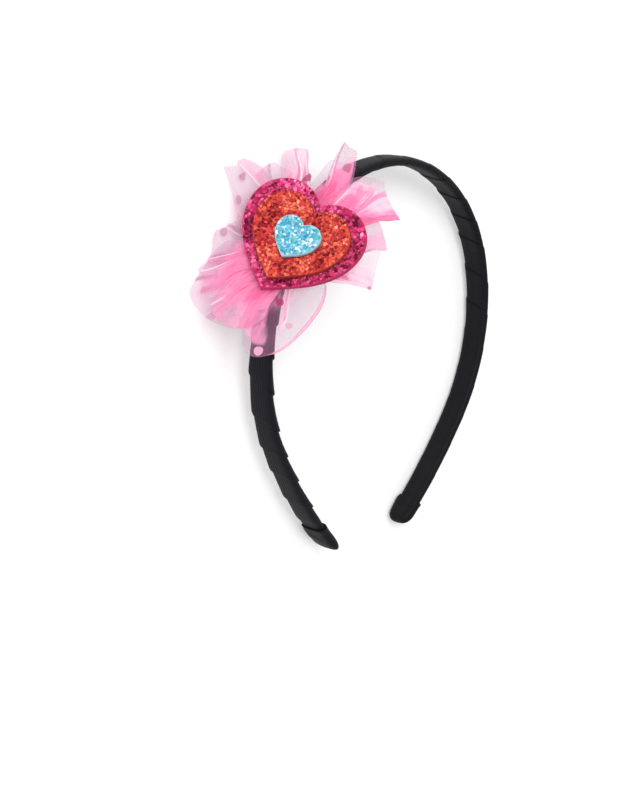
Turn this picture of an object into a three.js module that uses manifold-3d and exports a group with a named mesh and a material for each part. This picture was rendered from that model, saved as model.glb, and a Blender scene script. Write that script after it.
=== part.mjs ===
// A child's headband: a ribbon-wound hoop with three glitter hearts on a gathered tulle rosette.
// Millimetres, +Z up. The hoop lies on its back edge with its front side up and its crown towards +Y.
// The hearts lift their side of the hoop a little, and the tulle under them is flattened where it rests.
// The origin is at the middle of the bounding box, on the surface that the headband lies on.
import * as THREE from "three";
import { LoftGeometry } from "three/addons/geometries/LoftGeometry.js";
import { mergeVertices } from "three/addons/utils/BufferGeometryUtils.js";
import Module from "manifold-3d";

const wasm = await Module();
wasm.setup();

// Clearance between pieces that touch on the real headband
const GAP = 0.35;
const SAME_POINT = 1e-3;

// Hoop: one half as arcs from the crown to the tip
const HOOP_ARCS = [
  { radius: 61, sweep: 71 },
  { radius: 70, sweep: 51 },
  { radius: 190, sweep: 15 },
];
const ARM_LENGTH = { left: 189, right: 186 };
const BAND_WIDTH = 9.5;
const BAND_THICKNESS = 3.3;
const TIP_WIDTH = 9;
const TAPER_FROM = 65;

// Section of the band, a fraction of its half width and half thickness, from the back edge over the outside
const BAND_SECTION = [
  { across: -1.0, out: -0.05 },
  { across: -0.94, out: 0.5 },
  { across: -0.74, out: 0.86 },
  { across: -0.36, out: 1.0 },
  { across: 0.36, out: 1.0 },
  { across: 0.74, out: 0.86 },
  { across: 0.94, out: 0.5 },
  { across: 1.0, out: -0.05 },
  { across: 0.9, out: -0.68 },
  { across: 0.62, out: -1.0 },
  { across: 0.0, out: -1.0 },
  { across: -0.62, out: -1.0 },
  { across: -0.9, out: -0.68 },
];

// Ribbon winding: one lap for each turn, wound from the left tip to the right one
const LAP_PITCH = 13;
const LAP_HEIGHT = 0.45;
const LAP_FADE = 8;
const LAP_ROWS = [
  { along: 0, rise: 1 },
  { along: 0.5, rise: 0.45 },
  { along: 1, rise: 0 },
];

// Folded ribbon ends over the tips
const WRAP_WALL = 0.7;
const WRAP_LENGTH = { left: 11.5, right: 10 };
const WRAP_SLANT = 2.2;
const WRAP_RECESS = 0.25;
const TIP_ROUND = 5;
const TIP_RINGS = [0.35, 0.65, 0.87, 1];

// Hearts: outline as fractions of the width, with the lobes' centres on the x axis before it is centred
const HEART = {
  lobeRadius: 0.282,
  tipDepth: 0.6,
  sideHandle: 0.292,
  tipHandle: 0.256,
  tipAngle: 57.9,
  centreShift: 0.183,
};
const HEARTS = [
  { name: "heart_base", width: 45.1, front: 0, thickness: 2.0, right: 0, up: 0, colour: "#c2185f" },
  { name: "heart_middle", width: 35.6, front: 1.95, thickness: 1.6, right: 0.4, up: -0.1, colour: "#e2401f" },
  { name: "heart_top", width: 16.8, front: 3.9, thickness: 1.6, right: 0.9, up: 0.6, colour: "#9fd6ea" },
];
const HEART_BEVEL = 0.4;
const HEART_STEPS = 12;

// Place of the rosette on the left arm: the middle of the large heart's front face
const ROSETTE_ARC = 57.5;
const ROSETTE_OUT = 9.3;
const ROSETTE_FORWARD = 9;
const ROSETTE_TILT = 23.5;
const ROSETTE_PITCH = 3.4;
const ROSETTE_SPIN = 10.9;

// Gathered centre of the tulle, behind the large heart and over the band
const GATHER_RADIUS = 8.6;
const GATHER_DEPTH = 9;
const GATHER_ROUND = 1.4;
const GATHER_FOLDS = 12;
const GATHER_FOLD_DEPTH = 0.5;

// Tulle petals: a wall from the gathered centre out to a hem
const TULLE_WALL = 1;
const PETAL_ROOT = GATHER_RADIUS + GAP + GATHER_FOLD_DEPTH;
const FRONT_LAYER = -3.7;
const BACK_LAYER = -5.9;
const PETAL_ROWS = [0, 0.22, 0.42, 0.6, 0.76, 0.9, 1];
const FACES_PER_PLEAT = 6;
const FLOOR_SOFTNESS = 1.5;

// A row for each point of a hem: degrees from the front round towards the crown, reach and rise in the
// rosette's frame. bend is how late a petal leaves the plane of its root, depth the height of its pleats.
// The side edges of a front petal curl forwards and those of a back one backwards, so they overlap freely.
const PETALS = [
  {
    name: "tulle_petal_1", layer: BACK_LAYER, pleats: 2, depth: 2.2, bend: 2,
    hem: [
      { angle: -5, reach: 22, rise: -6 },
      { angle: 2, reach: 32, rise: -6 },
      { angle: 17, reach: 29, rise: -5 },
      { angle: 31, reach: 31.5, rise: -5 },
      { angle: 51, reach: 30, rise: -6 },
    ],
  },
  {
    name: "tulle_petal_2", layer: FRONT_LAYER, pleats: 2, depth: 2.4, bend: 2,
    hem: [
      { angle: 47, reach: 37, rise: -4 },
      { angle: 62, reach: 36.5, rise: -3 },
      { angle: 72, reach: 38.5, rise: -3 },
      { angle: 86, reach: 34, rise: -4 },
    ],
  },
  {
    name: "tulle_petal_3", layer: BACK_LAYER, pleats: 1, depth: 2.4, bend: 2,
    hem: [
      { angle: 86, reach: 34, rise: -5 },
      { angle: 93, reach: 41, rise: -4 },
      { angle: 100, reach: 42, rise: -4 },
      { angle: 114, reach: 32, rise: -6 },
    ],
  },
  {
    name: "tulle_petal_4", layer: FRONT_LAYER, pleats: 1, depth: 2, bend: 2,
    hem: [
      { angle: 113, reach: 36, rise: -4 },
      { angle: 123, reach: 38.5, rise: -4 },
      { angle: 132, reach: 37.5, rise: -4 },
    ],
  },
  {
    name: "tulle_petal_5", layer: BACK_LAYER, pleats: 1, depth: 1.2, bend: 3,
    hem: [
      { angle: 131, reach: 34, rise: -5.5 },
      { angle: 141, reach: 34, rise: -3.5 },
      { angle: 148.5, reach: 32.5, rise: 1.5 },
    ],
  },
  {
    name: "tulle_petal_6", layer: BACK_LAYER, pleats: 1.5, depth: 1.6, bend: 5,
    hem: [
      { angle: 152, reach: 35, rise: 2.5 },
      { angle: 157, reach: 36, rise: 7.5 },
      { angle: 166, reach: 35, rise: 9.5 },
      { angle: 176, reach: 28, rise: 0 },
    ],
  },
  {
    name: "tulle_petal_7", layer: BACK_LAYER, pleats: 1, depth: 1.2, bend: 4,
    hem: [
      { angle: 181, reach: 26, rise: -3 },
      { angle: 194, reach: 27, rise: -1 },
      { angle: 205, reach: 29.5, rise: 1.5 },
      { angle: 215, reach: 29.5, rise: -1 },
    ],
  },
  {
    name: "tulle_petal_8", layer: FRONT_LAYER, pleats: 5, depth: 2.2, bend: 2.5,
    hem: [
      { angle: 219, reach: 31, rise: -2.5 },
      { angle: 233, reach: 38.5, rise: -0.5 },
      { angle: 245, reach: 38, rise: -4 },
      { angle: 257, reach: 36.5, rise: -5 },
      { angle: 274, reach: 32, rise: -4 },
    ],
  },
  {
    name: "tulle_petal_9", layer: BACK_LAYER, pleats: 3, depth: 1.8, bend: 2,
    hem: [
      { angle: 273, reach: 36, rise: -6 },
      { angle: 287, reach: 40.5, rise: -6 },
      { angle: 300, reach: 35, rise: -6 },
      { angle: 318, reach: 27.5, rise: -6 },
      { angle: 334, reach: 21.5, rise: -6 },
    ],
  },
];

// Way the headband lies: a small tilt that lifts the hearts' side clear of the surface
const LIE_TILT = 3.9;
const RAISED_SIDE = 148;

const RIBBON = { color: "#25252a", roughness: 0.75, metalness: 0 };
const TULLE = { color: "#f783b5", roughness: 0.8, metalness: 0 };
const GLITTER = { roughness: 0.35, metalness: 0.4 };

const { degToRad, clamp, lerp, smoothstep } = THREE.MathUtils;
const SIDES = { left: -1, right: 1 };

// One closed body from a geometry: shared corners are merged and faces without area are left out
function closedBody(geometry) {
  const bare = new THREE.BufferGeometry();
  bare.setAttribute("position", geometry.attributes.position);
  bare.setIndex(geometry.index);
  const merged = mergeVertices(bare, SAME_POINT);
  const corners = Array.from(merged.index.array);
  const kept = [];
  for (let i = 0; i < corners.length; i += 3) {
    const [a, b, c] = corners.slice(i, i + 3);
    if (a !== b && b !== c && c !== a) kept.push(a, b, c);
  }
  merged.setIndex(kept);
  merged.computeVertexNormals();
  return merged;
}

function named(name, geometry, material) {
  const mesh = new THREE.Mesh(closedBody(geometry), new THREE.MeshStandardMaterial(material));
  mesh.name = name;
  return mesh;
}

// Middle line of the hoop at a signed distance from the crown, negative on the left arm, with its outward way
function hoopAt(distance) {
  const side = Math.sign(distance) || 1;
  let left = Math.abs(distance);
  let turned = 0;
  const centre = new THREE.Vector2(0, -HOOP_ARCS[0].radius);
  for (const [i, arc] of HOOP_ARCS.entries()) {
    const length = arc.radius * degToRad(arc.sweep);
    const last = i === HOOP_ARCS.length - 1;
    if (left <= length || last) {
      turned += left / arc.radius;
      centre.add(new THREE.Vector2(Math.sin(turned), Math.cos(turned)).multiplyScalar(arc.radius));
      break;
    }
    left -= length;
    turned += degToRad(arc.sweep);
    const step = arc.radius - HOOP_ARCS[i + 1].radius;
    centre.add(new THREE.Vector2(Math.sin(turned), Math.cos(turned)).multiplyScalar(step));
  }
  const out = new THREE.Vector2(side * Math.sin(turned), Math.cos(turned));
  return { x: side * centre.x, y: centre.y, out };
}

// Point on the band's skin: col counts round the section, grown is added to the section all round
function bandPoint(distance, col, grown, shrink = 1) {
  const { across, out } = BAND_SECTION[col % BAND_SECTION.length];
  const width = lerp(BAND_WIDTH, TIP_WIDTH, smoothstep(Math.abs(distance), TAPER_FROM, ARM_LENGTH.right));
  const line = hoopAt(distance);
  const radial = out * (BAND_THICKNESS / 2 + grown) * shrink;
  const forward = across * (width / 2 + grown) * shrink;
  return new THREE.Vector3(line.x + line.out.x * radial, line.y + line.out.y * radial, forward);
}

// Signed distance from the crown at which an arm's rounded end starts, under its folded ribbon
function endStart(side) {
  return SIDES[side] * (ARM_LENGTH[side] - TIP_ROUND - WRAP_WALL - GAP);
}

// Rounded end of an arm: rings that shrink to the tip
function roundedEnd(side, length, grown) {
  return TIP_RINGS.map((share) => {
    const shrink = Math.sqrt(1 - share * share);
    const distance = endStart(side) + SIDES[side] * share * length;
    return BAND_SECTION.map((row, col) => bandPoint(distance, col, grown, shrink));
  });
}

// Ribbon-wound band: the lap's edge runs round the band as a helix, so each row ends one turn further on
function wrappedBand() {
  const columns = BAND_SECTION.length;
  const recessFrom = ARM_LENGTH.right - WRAP_LENGTH.right - WRAP_SLANT - LAP_FADE;
  const turns = Math.ceil(ARM_LENGTH.left / LAP_PITCH) + 1;
  const tipRows = (side) => roundedEnd(side, TIP_ROUND, -WRAP_RECESS).map((ring) => [...ring, ring[0]]);
  const rows = tipRows("left").reverse();
  for (let turn = -turns; turn <= turns; turn += 1) {
    for (const { along, rise } of LAP_ROWS) {
      const row = [];
      for (let col = 0; col <= columns; col += 1) {
        const wound = (turn + along - col / columns) * LAP_PITCH;
        const distance = clamp(wound, endStart("left"), endStart("right"));
        const under = smoothstep(Math.abs(distance), recessFrom, recessFrom + LAP_FADE);
        row.push(bandPoint(distance, col, lerp(LAP_HEIGHT * rise, -WRAP_RECESS, under)));
      }
      rows.push(row);
    }
  }
  rows.push(...tipRows("right"));
  return new LoftGeometry(rows, { closed: false });
}

// Folded ribbon end: a thin cap over the tip with a slanting mouth
function endWrap(side) {
  const inner = -WRAP_RECESS + GAP;
  const outer = inner + WRAP_WALL;
  const mouth = (grown) => BAND_SECTION.map((row, col) => {
    const fromTip = WRAP_LENGTH[side] - WRAP_SLANT * row.across;
    return bandPoint(SIDES[side] * (ARM_LENGTH[side] - fromTip), col, grown);
  });
  const plain = (grown) => BAND_SECTION.map((row, col) => bandPoint(endStart(side), col, grown));
  const outside = [mouth(outer), plain(outer), ...roundedEnd(side, TIP_ROUND + GAP + WRAP_WALL, outer)];
  const inside = [mouth(inner), plain(inner), ...roundedEnd(side, TIP_ROUND + GAP, inner)];
  const sections = [...outside, ...inside.reverse(), outside[0]];
  if (side === "left") sections.reverse();
  return new LoftGeometry(sections);
}

// Heart outline of a given width, with its notch up, centred on the rosette's axis
function heartShape({ width, right, up }) {
  const lobe = HEART.lobeRadius * width;
  const lobeX = width / 2 - lobe;
  const middleY = up + HEART.centreShift * width;
  const notch = Math.sqrt(lobe * lobe - lobeX * lobeX);
  const notchAngle = Math.atan2(notch, -lobeX);
  const tipY = middleY - HEART.tipDepth * width;
  const side = HEART.sideHandle * width;
  const handleX = HEART.tipHandle * width * Math.sin(degToRad(HEART.tipAngle));
  const handleY = tipY + HEART.tipHandle * width * Math.cos(degToRad(HEART.tipAngle));
  const shape = new THREE.Shape();
  shape.moveTo(right, middleY + notch);
  shape.absarc(right + lobeX, middleY, lobe, notchAngle, 0, true);
  shape.bezierCurveTo(right + width / 2, middleY - side, right + handleX, handleY, right, tipY);
  const leftX = right - width / 2;
  shape.bezierCurveTo(right - handleX, handleY, leftX, middleY - side, leftX, middleY);
  shape.absarc(right - lobeX, middleY, lobe, Math.PI, Math.PI - notchAngle, true);
  return shape;
}

function heartPlate(heart) {
  const plate = new THREE.ExtrudeGeometry(heartShape(heart), {
    depth: heart.thickness - 2 * HEART_BEVEL,
    curveSegments: HEART_STEPS,
    bevelThickness: HEART_BEVEL,
    bevelSize: HEART_BEVEL,
    bevelOffset: -HEART_BEVEL,
    bevelSegments: 1,
  });
  return plate.translate(0, 0, heart.front - heart.thickness + HEART_BEVEL);
}

function toSolid(geometry) {
  const body = closedBody(geometry);
  const vertProperties = Float32Array.from(body.attributes.position.array);
  const triVerts = Uint32Array.from(body.index.array);
  return new wasm.Manifold(new wasm.Mesh({ numProp: 3, vertProperties, triVerts }));
}

function toGeometry(solid) {
  const { vertProperties, triVerts } = solid.getMesh();
  const geometry = new THREE.BufferGeometry();
  geometry.setAttribute("position", new THREE.Float32BufferAttribute(vertProperties, 3));
  geometry.setIndex(Array.from(triVerts));
  return geometry;
}

// Gathered centre: a fluted puck behind the large heart, cut to sit over the band
function tulleGather(bandInRosette) {
  const top = HEARTS[0].front - HEARTS[0].thickness - GAP;
  const flutes = 4 * GATHER_FOLDS;
  const ring = (radius, z) => Array.from({ length: flutes }, (_, i) => {
    const turn = (2 * Math.PI * i) / flutes;
    const folded = radius + GATHER_FOLD_DEPTH * Math.sin(GATHER_FOLDS * turn) * (radius / GATHER_RADIUS);
    return new THREE.Vector3(folded * Math.cos(turn), folded * Math.sin(turn), z);
  });
  const bottom = top - GATHER_DEPTH;
  const puck = new LoftGeometry([
    ring(0, bottom),
    ring(GATHER_RADIUS - GATHER_ROUND, bottom),
    ring(GATHER_RADIUS, bottom + GATHER_ROUND),
    ring(GATHER_RADIUS, top - GATHER_ROUND),
    ring(GATHER_RADIUS - GATHER_ROUND, top),
    ring(0, top),
  ]);
  return toGeometry(toSolid(puck).subtract(toSolid(bandInRosette)));
}

// Plain sweep of the band a little larger than its winding, for the seat under the gathered centre
function bandClearance() {
  const rows = [];
  const seatDistance = HOOP_ARCS[0].radius * degToRad(ROSETTE_ARC);
  for (let distance = -2 * seatDistance; distance <= 0; distance += LAP_PITCH / 3) {
    rows.push(BAND_SECTION.map((row, col) => bandPoint(distance, col, LAP_HEIGHT + GAP)));
  }
  return new LoftGeometry(rows, { capStart: true, capEnd: true });
}

// Height over the floor, held at or above the half wall with a rounded foot
function restingHeight(height) {
  const over = height - TULLE_WALL / 2;
  if (over <= -FLOOR_SOFTNESS) return TULLE_WALL / 2;
  if (over >= FLOOR_SOFTNESS) return height;
  return TULLE_WALL / 2 + (over + FLOOR_SOFTNESS) ** 2 / (4 * FLOOR_SOFTNESS);
}

// Petal of tulle: a pleated wall from the gathered centre to its hem, flattened where it meets the floor
function tullePetal(petal, floor) {
  const hem = new THREE.CatmullRomCurve3(
    petal.hem.map((row) => new THREE.Vector3(row.angle, row.reach, row.rise)),
    false,
    "centripetal",
  );
  const columns = Math.max(10, Math.ceil(petal.pleats * FACES_PER_PLEAT));
  const curl = petal.layer === FRONT_LAYER ? 1 : -1;
  const middle = (u, v) => {
    const { x: angle, y: reach, z: rise } = hem.getPoint(clamp(u, 0, 1));
    const radius = lerp(PETAL_ROOT, reach, v);
    const turn = degToRad(angle);
    const pleat = curl * petal.depth * v * v * Math.cos(2 * Math.PI * petal.pleats * u);
    const lift = (rise - petal.layer) * v ** petal.bend + pleat;
    const point = new THREE.Vector3(radius * Math.cos(turn), radius * Math.sin(turn), petal.layer + lift);
    const height = floor.distanceToPoint(point);
    return point.addScaledVector(floor.normal, restingHeight(height) - height);
  };
  const step = SAME_POINT;
  const face = (u, v, offset) => {
    const across = middle(Math.min(u + step, 1), v).sub(middle(Math.max(u - step, 0), v));
    const along = middle(u, Math.min(v + step, 1)).sub(middle(u, Math.max(v - step, 0)));
    return middle(u, v).addScaledVector(across.cross(along).normalize(), offset);
  };
  const loop = (v, half) => {
    const front = [];
    const back = [];
    for (let i = 0; i <= columns; i += 1) {
      front.push(face(i / columns, v, half));
      back.push(face(i / columns, v, -half));
    }
    return [...front, ...back.reverse()];
  };
  const half = TULLE_WALL / 2;
  const walls = PETAL_ROWS.map((v) => loop(v, half));
  return new LoftGeometry([loop(0, 0), ...walls, loop(1, 0)]);
}

// The hoop, lying with its front side up
const lying = new THREE.Group();
const raised = degToRad(RAISED_SIDE);
const tiltAxis = new THREE.Vector3(Math.sin(raised), -Math.cos(raised), 0);
lying.quaternion.setFromAxisAngle(tiltAxis, degToRad(LIE_TILT));
lying.add(named("wrapped_band", wrappedBand(), RIBBON));
lying.add(named("end_wrap_left", endWrap("left"), RIBBON));
lying.add(named("end_wrap_right", endWrap("right"), RIBBON));
lying.position.z = -new THREE.Box3().setFromObject(lying, true).min.z;

// The rosette's seat: x to the front, y along the hoop to the crown, z outwards
const seat = new THREE.Group();
const arc = degToRad(ROSETTE_ARC);
const toCrown = new THREE.Vector3(Math.cos(arc), Math.sin(arc), 0);
const outward = new THREE.Vector3(-Math.sin(arc), Math.cos(arc), 0);
const forward = new THREE.Vector3(0, 0, 1);
seat.quaternion.setFromRotationMatrix(new THREE.Matrix4().makeBasis(forward, toCrown, outward));
seat.position.set(0, -HOOP_ARCS[0].radius, ROSETTE_FORWARD);
seat.position.addScaledVector(outward, HOOP_ARCS[0].radius + ROSETTE_OUT);
lying.add(seat);

const rosette = new THREE.Group();
rosette.rotation.set(-degToRad(ROSETTE_PITCH), degToRad(ROSETTE_TILT), -degToRad(ROSETTE_SPIN), "YXZ");
seat.add(rosette);

const headband = new THREE.Group();
headband.add(lying);
headband.updateMatrixWorld(true);
const intoRosette = rosette.matrixWorld.clone().invert();
const floor = new THREE.Plane(new THREE.Vector3(0, 0, 1), 0).applyMatrix4(intoRosette);
const bandInRosette = bandClearance().applyMatrix4(intoRosette.clone().multiply(lying.matrixWorld));

rosette.add(named("tulle_gather", tulleGather(bandInRosette), TULLE));
for (const petal of PETALS) rosette.add(named(petal.name, tullePetal(petal, floor), TULLE));
for (const heart of HEARTS) {
  rosette.add(named(heart.name, heartPlate(heart), { color: heart.colour, ...GLITTER }));
}

const box = new THREE.Box3().setFromObject(headband, true);
headband.position.set(-(box.min.x + box.max.x) / 2, -(box.min.y + box.max.y) / 2, -box.min.z);
headband.updateMatrixWorld(true);

export default headband;
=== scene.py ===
import math
import random

import bmesh
import bpy
from bpy.props import FloatProperty, FloatVectorProperty, IntProperty, PointerProperty
from mathutils import Matrix, Vector, kdtree, noise


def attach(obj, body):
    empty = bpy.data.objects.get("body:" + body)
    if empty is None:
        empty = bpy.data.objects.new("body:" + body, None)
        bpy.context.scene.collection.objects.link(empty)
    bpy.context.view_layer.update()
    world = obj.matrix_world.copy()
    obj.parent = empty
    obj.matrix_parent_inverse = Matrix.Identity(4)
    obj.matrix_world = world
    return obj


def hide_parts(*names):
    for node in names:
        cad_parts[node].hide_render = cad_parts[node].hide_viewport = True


bl_info = {
    "name": "Heart headband",
    "version": (1, 0, 0),
    "blender": (4, 5, 0),
    "location": "3D View > Sidebar > Headband",
    "description": "A ribbon-wound headband with glitter hearts on a tulle rosette",
    "category": "Object",
}

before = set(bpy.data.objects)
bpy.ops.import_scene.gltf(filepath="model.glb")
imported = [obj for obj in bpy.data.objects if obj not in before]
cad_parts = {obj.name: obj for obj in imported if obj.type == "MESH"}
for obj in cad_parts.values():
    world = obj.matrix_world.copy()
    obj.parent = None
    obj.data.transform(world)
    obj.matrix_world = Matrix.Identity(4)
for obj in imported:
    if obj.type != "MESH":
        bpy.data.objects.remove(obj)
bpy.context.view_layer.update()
MM = 0.001

# Hoop: arcs of one half from the crown to the tip, radius in mm and sweep in degrees
HOOP_ARCS = ((61, 71), (70, 51), (190, 15))

# Arms in mm, the left one as -1 and the right one as 1: their lengths, where they start to taper, how long
# the tips are rounded, the gap under the folded ends, how far the band is set in there, and how far before
# them its laps fade
ARM_LENGTH = {-1: 189, 1: 186}
TAPER_FROM = 65
TIP_ROUND = 5
WRAP_GAP = 0.35
WRAP_RECESS = 0.25
LAP_FADE = 8

# Section of the band from its back edge over the outside: across and out, as parts of its half sizes
BAND_SECTION = (
    (-1.0, -0.05), (-0.94, 0.5), (-0.74, 0.86), (-0.36, 1.0), (0.36, 1.0), (0.74, 0.86), (0.94, 0.5),
    (1.0, -0.05), (0.9, -0.68), (0.62, -1.0), (0.0, -1.0), (-0.62, -1.0), (-0.9, -0.68),
)

# Height of a lap behind its edge: share of the pitch, share of the lap's height
LAP_PROFILE = (
    (0, 0.9), (0.025, 1.08), (0.09, 1.0), (0.2, 0.8), (0.35, 0.6), (0.55, 0.38), (0.8, 0.15),
    (0.93, 0.05), (1, 0),
)

# Way the headband lies on the floor, and the place of the crown in the frame
LIE_TILT = math.radians(3.9)
RAISED_SIDE = math.radians(148)
CROWN_PLACE = Vector((10.97, 65.54, 11.63))

# Place of the rosette on the left arm, with its tilt, pitch and spin
ROSETTE_ARC = math.radians(57.5)
ROSETTE_OUT = 9.3
ROSETTE_FORWARD = 9
ROSETTE_TURNS = (math.radians(23.5), math.radians(-3.4), math.radians(-10.9))

# Heart outline as parts of its width
LOBE_RADIUS = 0.282
TIP_DEPTH = 0.6
SIDE_HANDLE = 0.292
TIP_HANDLE = 0.256
TIP_ANGLE = math.radians(57.9)
CENTRE_SHIFT = 0.183
HEART_STEPS = 36

# Tulle in mm: where the petals leave the gathered centre, their layers behind the large heart, and how
# softly and how high they rest on the floor
PETAL_ROOT = 9.4
FRONT_LAYER = -3.7
BACK_LAYER = -5.9
OVER_LAYER = -3.1
FLOOR_SOFTNESS = 1.5
RESTING = 0.25

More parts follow.
